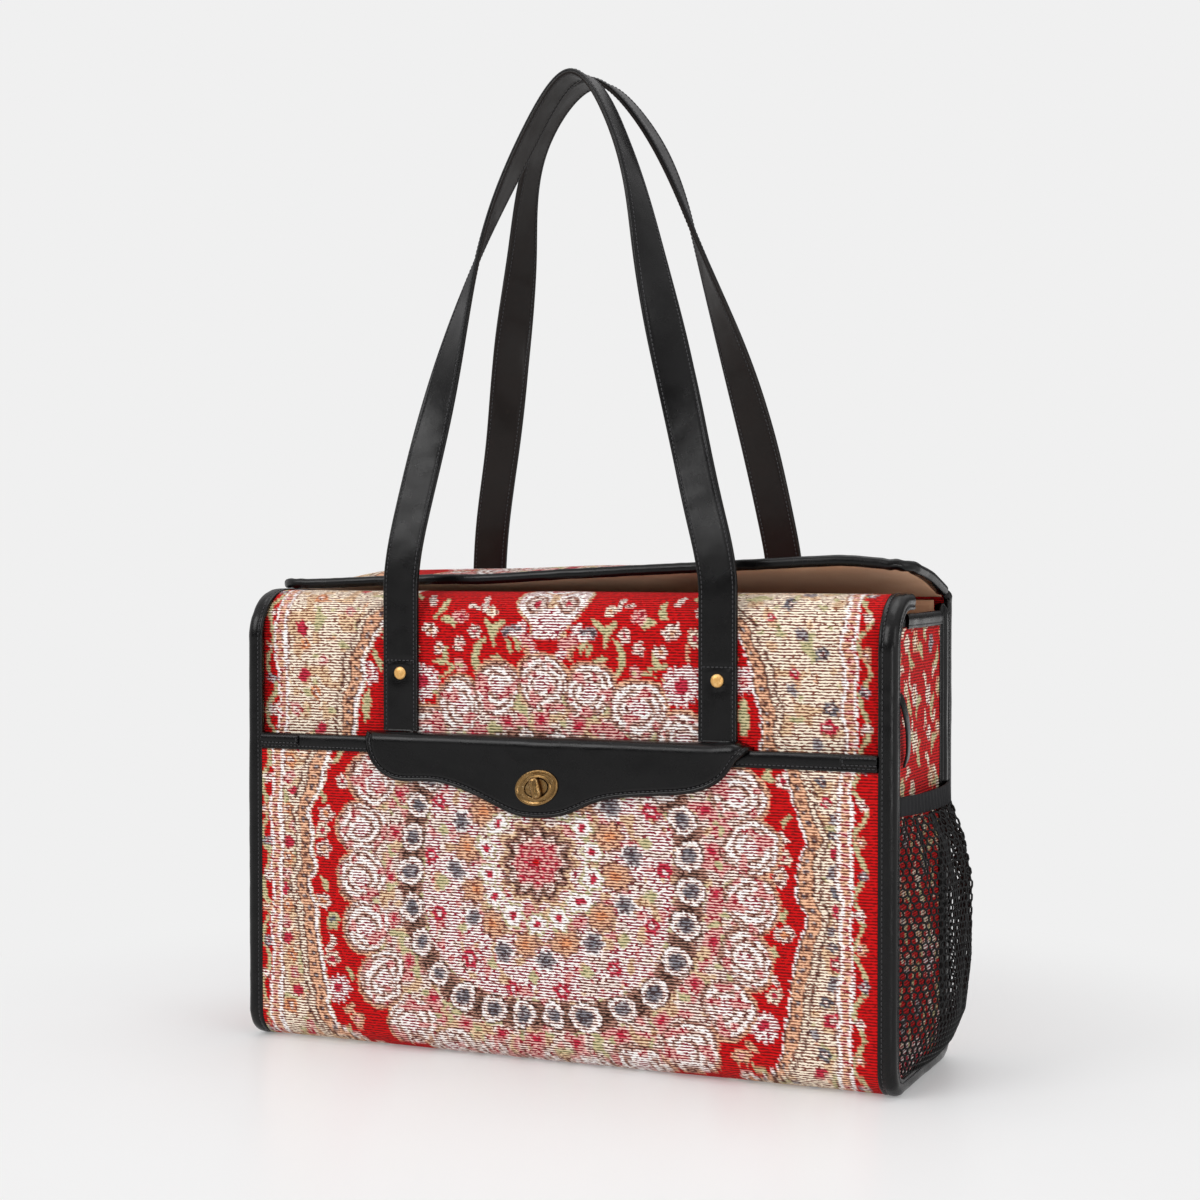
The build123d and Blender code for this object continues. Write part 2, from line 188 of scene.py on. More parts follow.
def makeObject(name, points, faces, material, uv=None, paint=None):
    mesh = bpy.data.meshes.new(name)
    mesh.from_pydata((np.asarray(points) * 0.001).tolist(), [], faces)
    mesh.shade_smooth()
    if uv is not None:
        layer = mesh.uv_layers.new(name="clothUv")
        corner = np.zeros(len(mesh.loops), int)
        mesh.loops.foreach_get("vertex_index", corner)
        layer.data.foreach_set("uv", (np.asarray(uv) * 0.001)[corner].ravel())
    if paint is not None:
        for key in ("pile", "thread"):
            layer = mesh.color_attributes.new(key, "FLOAT_COLOR", "POINT")
            full = np.concatenate([paint[key], np.ones((len(paint[key]), 1))], 1)
            layer.data.foreach_set("color", full.ravel())
        layer = mesh.attributes.new("fleckShare", "FLOAT", "POINT")
        layer.data.foreach_set("value", paint["fleck"])
    mesh.materials.append(material)
    thing = bpy.data.objects.new(name, mesh)
    bpy.context.scene.collection.objects.link(thing)
    return thing


def gridFaces(rows, columns, offset=0, flip=False, closed=False):
    wide = columns if closed else columns - 1
    i, j = np.meshgrid(np.arange(rows - 1), np.arange(wide), indexing="ij")
    k = (j + 1) % columns
    quads = np.stack([i * columns + j, i * columns + k, (i + 1) * columns + k, (i + 1) * columns + j], -1)
    quads = quads.reshape(-1, 4) + offset
    return quads[:, ::-1] if flip else quads


def gridNormals(grid):
    down = np.gradient(grid, axis=0)
    over = np.gradient(grid, axis=1)
    normal = np.cross(over, down)
    return normal / np.linalg.norm(normal, axis=2)[:, :, None]


def sheetShell(grid, outward, thickness, skip):
    # a closed sheet: a fine outer face, a coarse inner face, and a rim of many-sided faces
    rows, columns = grid.shape[:2]
    r = np.unique(np.append(np.arange(0, rows, skip), rows - 1))
    c = np.unique(np.append(np.arange(0, columns, skip), columns - 1))
    inner = (grid - outward * thickness)[np.ix_(r, c)]
    points = np.concatenate([grid.reshape(-1, 3), inner.reshape(-1, 3)])
    start = rows * columns
    normal = gridNormals(grid)
    flip = bool((normal * outward).sum() < 0)
    faces = gridFaces(rows, columns, 0, flip=not flip).tolist()
    faces += gridFaces(len(r), len(c), start, flip=flip).tolist()
    keep = (r[:, None] * columns + c[None, :]).ravel()

    def rim(fine, coarse):
        face = fine + coarse[::-1]
        faces.append(face[::-1] if flip else face)

    for a in range(len(c) - 1):
        span = range(c[a], c[a + 1] + 1)
        rim([int(k) for k in span], [start + a, start + a + 1])
        last = (len(r) - 1) * len(c) + start
        rim([(rows - 1) * columns + int(k) for k in span][::-1], [last + a + 1, last + a])
    for a in range(len(r) - 1):
        span = range(r[a], r[a + 1] + 1)
        rim([int(k) * columns for k in span][::-1], [start + (a + 1) * len(c), start + a * len(c)])
        edge = len(c) - 1
        rim(
            [int(k) * columns + columns - 1 for k in span],
            [start + a * len(c) + edge, start + (a + 1) * len(c) + edge],
        )
    return points, faces, keep


def sweep(sections):
    # skins closed sections, shape (stations, around, 3), and closes both ends
    stations, around = sections.shape[:2]
    faces = gridFaces(stations, around, closed=True).tolist()
    faces.append(list(range(around)))
    faces.append(list(range((stations - 1) * around, stations * around))[::-1])
    points = sections.reshape(-1, 3)
    volume = 0.0
    for face in faces[:-2]:
        a, b, c, d = points[face[0]], points[face[1]], points[face[2]], points[face[3]]
        volume += np.dot(a, np.cross(b, c)) + np.dot(a, np.cross(c, d))
    for face in faces[-2:]:
        for k in range(1, len(face) - 1):
            volume += np.dot(points[face[0]], np.cross(points[face[k]], points[face[k + 1]]))
    if volume < 0:
        faces = [face[::-1] for face in faces]
    return points, faces


def startMaterial(name):
    material = bpy.data.materials.new(name)
    material.use_nodes = True
    tree = material.node_tree
    tree.nodes.clear()
    shader = addNode(tree, "ShaderNodeBsdfPrincipled")
    addNode(tree, "ShaderNodeOutputMaterial", inputs={"Surface": shader})
    return material, tree, shader


carpetSizes = {
    "rib": 0.00175,  # spacing of the chenille ribs
    "dash": 0.003,  # length of a fleck along a rib
    "dashHeight": 0.00135,
    "fuzz": 0.0005,  # loose fibre ends of the chenille
    "relief": 0.0006,
}


def chenilleCarpet():
    # jacquard chenille: ribs across the cloth, with darker ground threads showing in between as short dashes
    material, tree, shader = startMaterial("chenilleCarpet")
    uv = addNode(tree, "ShaderNodeUVMap", {"uv_map": "clothUv"}).outputs[0]
    split = addNode(tree, "ShaderNodeSeparateXYZ", inputs={0: uv})
    waver = addNode(tree, "ShaderNodeTexNoise", inputs={"Vector": uv, "Scale": 120.0, "Detail": 2.0})
    turns = 2 * math.pi / carpetSizes["rib"]
    phase = addNode(tree, "ShaderNodeMath", {"operation": "MULTIPLY"}, {0: split.outputs[1], 1: turns})
    wave = addNode(tree, "ShaderNodeMath", {"operation": "MULTIPLY_ADD"}, {0: waver, 1: 2.2, 2: phase})
    sine = addNode(tree, "ShaderNodeMath", {"operation": "SINE"}, {0: wave})
    crest = addNode(tree, "ShaderNodeMath", {"operation": "MULTIPLY_ADD"}, {0: sine, 1: 0.5, 2: 0.5})
    stretch = addNode(
        tree,
        "ShaderNodeMapping",
        inputs={"Vector": uv, "Scale": (1 / carpetSizes["dash"], 1 / carpetSizes["dashHeight"], 1)},
    )
    streak = addNode(tree, "ShaderNodeTexNoise", inputs={"Vector": stretch, "Scale": 1.0, "Detail": 1.5})
    lowered = addNode(tree, "ShaderNodeMath", {"operation": "MULTIPLY_ADD"}, {0: crest, 1: -0.34, 2: 0.17})
    strewn = addNode(tree, "ShaderNodeMath", {"operation": "MULTIPLY_ADD"}, {0: streak, 1: 1.25, 2: -0.125})
    fleckValue = addNode(tree, "ShaderNodeMath", inputs={0: strewn, 1: lowered})
    share = addNode(tree, "ShaderNodeAttribute", {"attribute_name": "fleckShare"})
    lift = addNode(
        tree, "ShaderNodeMath", {"operation": "MULTIPLY_ADD"}, {0: share.outputs["Fac"], 1: 0.42, 2: -0.71}
    )
    over = addNode(tree, "ShaderNodeMath", inputs={0: fleckValue, 1: lift})
    mask = addNode(
        tree,
        "ShaderNodeMath",
        {"operation": "MULTIPLY_ADD", "use_clamp": True},
        {0: over, 1: 13.0, 2: 0.5},
    )
    pile = addNode(tree, "ShaderNodeAttribute", {"attribute_name": "pile"})
    thread = addNode(tree, "ShaderNodeAttribute", {"attribute_name": "thread"})
    colour = addNode(
        tree,
        "ShaderNodeMix",
        {"data_type": "RGBA"},
        {"Factor": mask, 6: pile.outputs["Color"], 7: thread.outputs["Color"]},
    )
    fuzz = addNode(
        tree, "ShaderNodeTexNoise", inputs={"Vector": uv, "Scale": 1 / carpetSizes["fuzz"], "Detail": 2.0}
    )
    # painted shade: the yarn colour is darkened in the grooves between the ribs and lightened on their
    # crests, with random speckle from the loose fibre ends on top
    shade = addNode(tree, "ShaderNodeMath", {"operation": "MULTIPLY_ADD"}, {0: crest, 1: 0.4, 2: 0.6})
    fuzzAndGrooveShade = addNode(tree, "ShaderNodeMath", {"operation": "MULTIPLY_ADD"}, {0: fuzz, 1: 0.4, 2: shade})
    lit = addNode(
        tree, "ShaderNodeVectorMath", {"operation": "SCALE"}, {0: colour.outputs[2], "Scale": fuzzAndGrooveShade}
    )
    height = addNode(tree, "ShaderNodeMath", {"operation": "MULTIPLY_ADD"}, {0: fuzz, 1: 0.5, 2: crest})
    sunk = addNode(tree, "ShaderNodeMath", {"operation": "MULTIPLY_ADD"}, {0: mask, 1: -0.6, 2: height})
    bump = addNode(
        tree,
        "ShaderNodeBump",
        inputs={"Strength": 0.8, "Distance": carpetSizes["relief"], "Height": sunk},
    )
    fillSockets(
        tree,
        shader,
        {
            "Base Color": lit,
            "Roughness": 0.86,
            "Specular IOR Level": 0.12,
            "Sheen Weight": 0.03,
            "Sheen Roughness": 0.5,
            "Normal": bump,
        },
    )
    return material


def coatedLeather(name, dark, pale, gloss, dull, wear="3a3634"):
    # smooth coated cowhide: near black, fine pores, satin patches where it has been handled
    material, tree, shader = startMaterial(name)
    place = addNode(tree, "ShaderNodeTexCoord").outputs["Object"]
    cloud = addNode(tree, "ShaderNodeTexNoise", inputs={"Vector": place, "Scale": 55.0, "Detail": 4.0})
    pores = addNode(
        tree,
        "ShaderNodeTexVoronoi",
        {"feature": "DISTANCE_TO_EDGE"},
        {"Vector": place, "Scale": 900.0},  # pores about 1.1 mm apart
    )
    crease = addNode(tree, "ShaderNodeTexNoise", inputs={"Vector": place, "Scale": 260.0, "Detail": 6.0})
    tone = addNode(
        tree,
        "ShaderNodeMix",
        {"data_type": "RGBA"},
        {"Factor": cloud, 6: linear(dark), 7: linear(pale)},
    )
    worn = addNode(
        tree,
        "ShaderNodeMapRange",
        inputs={"Value": crease, "From Min": 0.62, "From Max": 0.8, "To Min": 0.0, "To Max": 0.5},
    )
    colour = addNode(
        tree,
        "ShaderNodeMix",
        {"data_type": "RGBA"},
        {"Factor": worn, 6: tone.outputs[2], 7: linear(wear)},
    )
    rough = addNode(
        tree,
        "ShaderNodeMapRange",
        inputs={"Value": cloud, "From Min": 0.35, "From Max": 0.65, "To Min": gloss, "To Max": dull},
    )
    poreDepth = addNode(
        tree,
        "ShaderNodeMapRange",
        inputs={"Value": pores, "From Min": 0.0, "From Max": 0.12},
    )
    relief = addNode(
        tree, "ShaderNodeMath", {"operation": "MULTIPLY_ADD"}, {0: crease, 1: 1.6, 2: poreDepth}
    )
    sag = addNode(tree, "ShaderNodeTexNoise", inputs={"Vector": place, "Scale": 24.0, "Detail": 2.0})
    broad = addNode(tree, "ShaderNodeBump", inputs={"Strength": 0.5, "Distance": 0.004, "Height": sag})
    bump = addNode(
        tree,
        "ShaderNodeBump",
        inputs={"Strength": 0.22, "Distance": 0.00012, "Height": relief, "Normal": broad},
    )
    fillSockets(
        tree,
        shader,
        {
            "Base Color": colour.outputs[2],
            "Roughness": rough,
            "Specular IOR Level": 0.2,
            "Coat Weight": 0.1,
            "Coat Roughness": 0.14,
            "Normal": bump,
        },
    )
    return material


def brushedSuede():
    # microsuede lining: tan, soft, with brushed light and dark patches
    material, tree, shader = startMaterial("tanMicrosuede")
    place = addNode(tree, "ShaderNodeTexCoord").outputs["Object"]
    brush = addNode(tree, "ShaderNodeTexNoise", inputs={"Vector": place, "Scale": 45.0, "Detail": 5.0})
    nap = addNode(tree, "ShaderNodeTexNoise", inputs={"Vector": place, "Scale": 1800.0, "Detail": 2.0})
    tone = addNode(
        tree,
        "ShaderNodeMix",
        {"data_type": "RGBA"},
        {"Factor": brush, 6: linear("d39a76"), 7: linear("f0c3a0")},
    )
    bump = addNode(tree, "ShaderNodeBump", inputs={"Strength": 0.4, "Distance": 0.0003, "Height": nap})
    fillSockets(
        tree,
        shader,
        {
            "Base Color": tone.outputs[2],
            "Roughness": 0.95,
            "Specular IOR Level": 0.1,
            "Sheen Weight": 0.4,
            "Sheen Roughness": 0.4,
            "Sheen Tint": linear("e8c9ad"),
            "Normal": bump,
        },
    )
    return material


def castBrass(name, bright, patina, roughness, stipple, metallic=1.0):
    # cast brass: bright on the high places, brown patina in the pits
    material, tree, shader = startMaterial(name)
    place = addNode(tree, "ShaderNodeTexCoord").outputs["Object"]
    pits = addNode(tree, "ShaderNodeTexVoronoi", inputs={"Vector": place, "Scale": 1500.0})  # 0.7 mm apart
    stain = addNode(tree, "ShaderNodeTexNoise", inputs={"Vector": place, "Scale": 420.0, "Detail": 5.0})
    both = addNode(tree, "ShaderNodeMath", {"operation": "MULTIPLY_ADD"}, {0: pits, 1: stipple, 2: stain})
    mask = addNode(
        tree,
        "ShaderNodeMapRange",
        inputs={"Value": both, "From Min": 0.35, "From Max": 0.75, "To Min": 0.0, "To Max": 1.0},
    )
    tone = addNode(
        tree,
        "ShaderNodeMix",
        {"data_type": "RGBA"},
        {"Factor": mask, 6: linear(bright), 7: linear(patina)},
    )
    bump = addNode(
        tree, "ShaderNodeBump", inputs={"Strength": 0.5, "Distance": 0.00012 * stipple, "Height": pits}
    )
    fillSockets(
        tree,
        shader,
        {"Base Color": tone.outputs[2], "Metallic": metallic, "Roughness": roughness, "Normal": bump},
    )
    return material


def plainYarn(name, dark, pale, scale, roughness, sheen):
    # spun thread: dull, with small changes of tone along its length
    material, tree, shader = startMaterial(name)
    place = addNode(tree, "ShaderNodeTexCoord").outputs["Object"]
    twist = addNode(tree, "ShaderNodeTexNoise", inputs={"Vector": place, "Scale": scale, "Detail": 3.0})
    tone = addNode(
        tree,
        "ShaderNodeMix",
        {"data_type": "RGBA"},
        {"Factor": twist, 6: linear(dark), 7: linear(pale)},
    )
    bump = addNode(tree, "ShaderNodeBump", inputs={"Strength": 0.4, "Distance": 0.0002, "Height": twist})
    fillSockets(
        tree,
        shader,
        {
            "Base Color": tone.outputs[2],
            "Roughness": roughness,
            "Specular IOR Level": 0.3,
            "Sheen Weight": sheen,
            "Normal": bump,
        },
    )
    return material


def ribbedElastic():
    # knitted elastic: fine ribs up and down, black and dull
    material, tree, shader = startMaterial("ribbedElastic")
    uv = addNode(tree, "ShaderNodeUVMap", {"uv_map": "clothUv"}).outputs[0]
    ribs = addNode(
        tree,
        "ShaderNodeTexWave",
        {"bands_direction": "X"},
        {"Vector": uv, "Scale": 330.0, "Distortion": 0.6, "Detail": 1.0},  # ribs about 1 mm apart
    )
    tone = addNode(
        tree,
        "ShaderNodeMix",
        {"data_type": "RGBA"},
        {"Factor": ribs.outputs["Fac"], 6: linear("0b0b0c"), 7: linear("232326")},
    )
    bump = addNode(
        tree, "ShaderNodeBump", inputs={"Strength": 0.7, "Distance": 0.0004, "Height": ribs.outputs["Fac"]}
    )
    fillSockets(
        tree,
        shader,
        {"Base Color": tone.outputs[2], "Roughness": 0.8, "Specular IOR Level": 0.3, "Normal": bump},
    )
    return material


carpet = chenilleCarpet()
leather = coatedLeather("coatedCowhide", "050505", "0a090a", 0.17, 0.36, "171514")
strapBack = coatedLeather("strapLiningHide", "100b09", "1c1512", 0.45, 0.6, "241c18")
lining = brushedSuede()
antiqueBrass = castBrass("antiqueBrass", "ffe8ba", "866840", 0.26, 1.0, 0.97)
rivetBrass = castBrass("lacqueredBrass", "ffd594", "dca962", 0.46, 0.25, 0.75)
waxedThread = plainYarn("waxedThread", "141414", "48474a", 2600.0, 0.32, 0.0)
netYarn = plainYarn("nylonNetYarn", "040404", "101011", 2400.0, 0.6, 0.0)
elastic = ribbedElastic()
greyBoard = plainYarn("greyBoard", "6d675f", "938c82", 500.0, 0.9, 0.0)
print("materials made")


# each yarn mix: colour of the ribs, colour of the threads between them, and how much those show
yarns = {
    "red": ("c80d10", "86080a", 0.32),
    "cream": ("fbecd6", "845142", 0.42),
    "sand": ("edcda8", "8a5840", 0.46),
    "olive": ("cfc397", "7c7850", 0.3),
    "peach": ("f0bf9c", "824a38", 0.48),
    "brown": ("9c7565", "3a221c", 0.62),
    "brownLine": ("c0917f", "5a322a", 0.58),
    "guard": ("f0bb97", "9c6248", 0.34),
    "outline": ("7e5244", "3e241d", 0.4),
    "white": ("fdf4f0", "8f2c3a", 0.5),
    "ivory": ("fbebe0", "74403a", 0.5),
    "whiteLine": ("fefaf7", "8c524c", 0.22),
    "pink": ("f2bdb4", "981f2e", 0.55),
    "rose": ("c9344a", "86101e", 0.4),
    "slate": ("83828a", "453638", 0.62),
    "slatePale": ("b5b0b2", "543c40", 0.6),
    "orange": ("eaa072", "864430", 0.48),
}
yarnTable = {
    name: (linear(pile)[:3], linear(thread)[:3], share) for name, (pile, thread, share) in yarns.items()
}

designSizes = {
    "centre": -5.0,  # the line that the flowers of the upper field mirror on
    "fieldEdge": [  # height from the medallion's centre, and half the width of the red field there
        (-230, 100), (-186, 104), (-150, 96), (-121, 134), (-112, 144), (-99, 151), (-80, 153), (-59, 155),
        (-40, 159), (-19, 164), (-10, 160), (10, 160), (22, 164), (34, 159), (46, 155), (66, 149),
        (90, 135), (119, 132), (140, 128), (155, 122), (166, 116), (186, 100),
    ],
    "ringRadius": 130.0,
    "lobes": 26,
    "ovals": 28,
    "stripEdge": 193.5,
}


def newPaint(count, yarn):
    pile, thread, share = yarnTable[yarn]
    return {
        "pile": np.tile(pile, (count, 1)),
        "thread": np.tile(thread, (count, 1)),
        "fleck": np.full(count, share),
    }


def lay(paint, mask, yarn):
    pile, thread, share = yarnTable[yarn]
    paint["pile"][mask] = pile
    paint["thread"][mask] = thread
    paint["fleck"][mask] = share


def flower(paint, x, v, at, radius, petals, petal, heart, rim=None):
    across, up = x - at[0], v - at[1]
    angle = np.arctan2(up, across)
    far = np.hypot(across, up) / (radius * (0.9 + 0.13 * np.cos(petals * angle)))
    if rim:
        lay(paint, far < 1.22, rim)
    lay(paint, far < 1, petal)
    lay(paint, far < 0.42, heart)


def leaf(paint, x, v, at, way, length, width, bend, yarn):
    c, s = math.cos(math.radians(way)), math.sin(math.radians(way))
    a = ((x - at[0]) * c + (v - at[1]) * s) / (length / 2)
    b = (-(x - at[0]) * s + (v - at[1]) * c - bend * (1 - a * a)) / (width / 2)
    lay(paint, a * a + b * b < 1, yarn)


# motifs of the red field: distance from the mirror line, height, then size and kind
fieldFlowers = [
    (150, 22, 6.0, 5, "ivory", "orange"), (151, 0, 6.0, 5, "ivory", "peach"),
    (146, -45, 5.5, 6, "olive", "slate"), (142, -88, 10.5, 12, "white", "rose"),
    (139, 44, 5.0, 5, "ivory", "rose"), (128, -106, 5.5, 6, "peach", "pink"),
    (81, 162, 5.8, 6, "ivory", "peach"), (50, 160, 5.0, 6, "ivory", "rose"),
    (60, 152, 4.5, 5, "ivory", "pink"), (61, 170, 5.4, 5, "pink", "rose"),
    (27, 162, 4.6, 6, "slatePale", "slate"), (19, 163, 5.0, 5, "white", "pink"),
    (58, 138, 4.2, 5, "pink", "olive"), (88, 129, 13.0, 14, "white", "rose"),
    (126, 134, 8.5, 12, "white", "pink"), (74, 150, 4.6, 6, "ivory", "orange"),
    (96, 158, 5.2, 6, "cream", "rose"), (40, 174, 4.4, 5, "cream", "orange"),
    (153, 12, 5.4, 6, "cream", "rose"), (154, -33, 5.6, 5, "ivory", "orange"),
    (147, -68, 5.2, 6, "cream", "rose"), (152, 56, 4.8, 5, "ivory", "rose"),
    (131, -122, 6.0, 6, "ivory", "orange"), (118, -132, 5.5, 6, "cream", "rose"),
    (12, 154, 5.0, 5, "pink", "white"), (100, 176, 5.5, 6, "ivory", "peach"),
    (112, 158, 4.5, 5, "olive", "rose"),
]
fieldLeaves = [
    (155, -22, 70, 11, 3.4, 1.5, "olive"), (149, -57, 110, 13, 4.0, 3.0, "ivory"),
    (133, -78, 60, 10, 3.2, 1.2, "olive"), (134, -100, 130, 11, 4.0, 1.0, "peach"),
    (155, 33, 50, 10, 3.4, 2.0, "olive"), (145, 60, 110, 12, 4.2, 2.5, "olive"),
    (138, -112, 150, 10, 3.2, 2.0, "olive"), (157, 10, 100, 8, 3.0, 1.0, "peach"),
    (70, 146, 90, 13, 4.0, 0.5, "olive"), (72, 140, 12, 16, 3.0, 0.8, "olive"),
    (44, 146, 98, 24, 5.0, -4.5, "olive"), (40, 160, 62, 19, 5.0, 2.0, "olive"),
    (34, 163, 118, 15, 4.4, -1.5, "olive"), (22, 153, 60, 12, 3.6, 1.5, "olive"),
    (35, 143, 30, 9, 4.2, 2.0, "olive"), (46, 180, 85, 13, 4.2, 1.0, "ivory"),
    (53, 177, 20, 9, 3.6, 1.0, "ivory"), (76, 176, 100, 13, 4.0, 2.0, "olive"),
    (68, 166, 35, 12, 4.6, 1.5, "olive"), (82, 183, 65, 12, 3.8, -2.0, "ivory"),
    (66, 135, -24, 28, 1.7, 1.0, "olive"), (80, 120, 15, 15, 2.6, 2.0, "olive"),
    (92, 150, 85, 18, 1.6, 1.5, "peach"), (126, 113, 90, 21, 6.0, 0.0, "olive"),
    (118, 142, 70, 15, 4.0, 2.0, "olive"), (104, 168, 120, 13, 3.6, 2.0, "olive"),
    (95, 186, 40, 12, 3.6, 1.0, "olive"), (114, 172, 80, 9, 3.0, 1.0, "ivory"),
]


palmetteBuds = [
    (20, 160, 20, 15, 7.5, 0.0, "white"),
    (13, 153, 55, 16, 6.0, 0.0, "pink"),
    (6, 145, 50, 14, 6.0, 0.0, "white"),
    (15, 148, 80, 13, 3.0, 1.5, "peach"),
    (22, 163, 0, 7, 4.0, 0.0, "slatePale"),
    (26, 152, 75, 9, 3.0, 0.0, "olive"),
]


def paintColumns(paint, x, v, edge):
    # cream side columns with small scattered flowers, the guard band and the two edge lines
    u = x + 4
    lay(paint, drift(x, v, 7, 3) > 0.66, "sand")
    lay(paint, drift(x, v, 6, 4) > 0.82, "olive")
    lay(paint, drift(x, v, 5, 5) > 0.88, "peach")
    kinds = ("rose", "slatePale", "pink", "rose", "orange", "slate")
    for step in range(-18, 19):
        height = step * 10.5 + 4
        half = float(
            np.interp(
                height, [p[0] for p in designSizes["fieldEdge"]], [p[1] for p in designSizes["fieldEdge"]]
            )
        )
        for side in (-1, 1):
            room = 186 - half - 16
            share = float(grain(np.array(step * 3.0 + side), np.array(7.0), 5))
            at = (side * (half + 16 + room * (0.15 + 0.7 * share)) - 3, height)
            kind = kinds[(step * 2 + (side + 1) // 2) % len(kinds)]
            flower(paint, x, v, at, 3.4 + 1.6 * share, 5, kind, "ivory" if step % 3 else kind)
    beyond = np.abs(u) - edge
    lay(paint, (beyond > 0) & (beyond < 15.8), "outline")
    lay(paint, (beyond > 0) & (beyond < 14.4), "guard")
    lay(paint, (beyond > 11) & (beyond < 14.4), "cream")
    lay(paint, (beyond > 9.8) & (beyond < 11), "outline")
    lay(paint, (np.abs(beyond - 6.2) < 1.7) & (np.abs((v % 7.0) - 3.5) < 1.6), "outline")
    lay(paint, (np.abs(beyond - 6.2) < 0.8) & (np.abs((v % 7.0) - 3.5) < 0.8), "slatePale")
    lay(paint, (beyond > 2.2) & (beyond < 3.2), "outline")
    lay(paint, (beyond > 0) & (beyond < 2.2), "whiteLine")
    far = np.abs(u)
    strip = designSizes["stripEdge"]
    lay(paint, far > strip - 9.6, "brownLine")
    lay(paint, far > strip - 8.8, "whiteLine")
    lay(paint, far > strip - 6.4, "peach")
    lay(paint, (far > strip - 6.0) & (np.abs((v % 6.0) - 3.0) < 1.2), "pink")
    lay(paint, far > strip - 2.0, "whiteLine")
    lay(paint, far > strip, "red")
    lay(paint, (far > strip + 0.6) & (np.abs(far - strip - 4 - 3 * np.sin(v / 5.2)) < 1.5), "olive")
    for step in range(-10, 11):
        for side in (-1, 1):
            kind = ("slatePale", "peach", "ivory")[step % 3]
            flower(paint, x, v, (side * (strip + 4.2) - 3, step * 21.0 + 3), 3.6, 6, kind, "white")


def paintMedallion(paint, x, v):
    u = x + 9.5 * np.exp(-((x / 80) ** 2))
    r = np.hypot(u, v)
    angle = np.arctan2(v, u)
    ring = designSizes["ringRadius"] + 10 * np.sin(2 * angle) ** 2 * (v < 0)
    step = 2 * math.pi / designSizes["lobes"]
    turn = (angle / step) % 1 - 0.5
    sideways, outwards = turn * step * ring, r - ring
    lobe = np.hypot(sideways / 15.6, outwards / 16.5)
    inside = (r < ring - 2) | (lobe < 1)
    lay(paint, (r < ring - 2) | (lobe < 1.14), "peach")
    lay(paint, inside, "ivory")
    lay(paint, inside & (drift(u, v, 5, 11) > 0.6), "pink")
    lay(paint, inside & (drift(u, v, 6, 12) > 0.68), "sand")
    lay(paint, inside & (drift(u, v, 5, 22) > 0.74), "olive")
    # curled lobes: fine turns of white line, with dark flecks along them
    lobe = lobe + 0.1 * (drift(u, v, 6, 20) - 0.5)
    curl = (lobe * 3.1 - np.sign(u) * np.arctan2(outwards, sideways) / (2 * math.pi)) % 1
    lay(paint, (lobe < 1.04) & (lobe > 0.3), "brownLine")
    lay(paint, (lobe < 0.98) & (curl > 0.2) & (curl < 0.95), "ivory")
    lay(paint, (lobe < 0.98) & (curl > 0.34) & (curl < 0.8), "whiteLine")
    lay(paint, (lobe < 0.98) & (drift(u, v, 5, 21) > 0.7), "pink")
    lay(paint, lobe < 0.3, "white")
    # red dashes and brown patches inside the lobes
    inner = ring - 22
    lay(paint, (np.abs(r - inner) < 4.5) & (np.abs(sideways) < 5.5), "pink")
    lay(paint, (np.abs(r - inner) < 2.2) & (np.abs(sideways) < 3.0), "rose")
    # ring of dark-hearted ovals
    ovalRing = ring - 37
    ovalStep = 2 * math.pi / designSizes["ovals"]
    ovalTurn = ((angle / ovalStep) % 1 - 0.5) * ovalStep * ovalRing
    lay(paint, (np.abs(r - ovalRing) < 9.0) & (np.abs(ovalTurn) > 7), "brownLine")
    lay(paint, (np.abs(r - ovalRing) < 6.0) & (np.abs(ovalTurn) > 9.2), "brown")
    oval = np.hypot(ovalTurn / 8.4, (r - ovalRing) / 8.4)
    lay(paint, oval < 1.12, "brown")
    lay(paint, oval < 0.98, "whiteLine")
    lay(paint, oval < 0.76, "ivory")
    lay(paint, oval < 0.58, "slatePale")
    lay(paint, (oval < 0.5) & (drift(u, v, 2.6, 19) > 0.4), "slate")
    # inner field, with rings of small flowers
    lay(paint, r < ovalRing - 10, "white")
    core = r < ovalRing - 12
    lay(paint, core & (drift(u, v, 7, 14) > 0.7), "pink")
    lay(paint, core & (drift(u, v, 5, 15) > 0.7), "ivory")
    lay(paint, core & (drift(u, v, 6, 16) > 0.76), "sand")
    rings = (
        (79, 14, 0.0, 5.4, 6, "rose", "white", None),
        (71, 14, 0.5, 4.0, 4, "olive", "olive", None),
        (60, 12, 0.25, 6.4, 6, "slatePale", "slate", "whiteLine"),
        (50, 12, 0.75, 8.6, 8, "peach", "orange", "brownLine"),
        (36.5, 14, 0.5, 6.6, 6, "whiteLine", "rose", "olive"),
    )
    for far, count, offset, radius, petals, petal, heart, rim in rings:
        for k in range(count):
            way = 2 * math.pi * (k + offset) / count
            flower(paint, u, v, (far * math.cos(way), far * math.sin(way)), radius, petals, petal, heart, rim)
    scallop = 23 + 2.6 * np.cos(12 * angle)
    lay(paint, r < scallop + 3, "sand")
    lay(paint, r < scallop, "brownLine")
    lay(paint, (r < scallop - 1) & (r > scallop - 4) & (np.abs(np.sin(6 * angle)) > 0.4), "brown")
    lay(paint, r < scallop - 5, "ivory")
    lay(paint, r < 15.5 + 1.5 * np.cos(8 * angle), "pink")
    lay(paint, (r < 14.5) & (np.cos(8 * angle) * np.cos(r * 0.9) > 0.25), "rose")
    lay(paint, r < 2.4, "red")


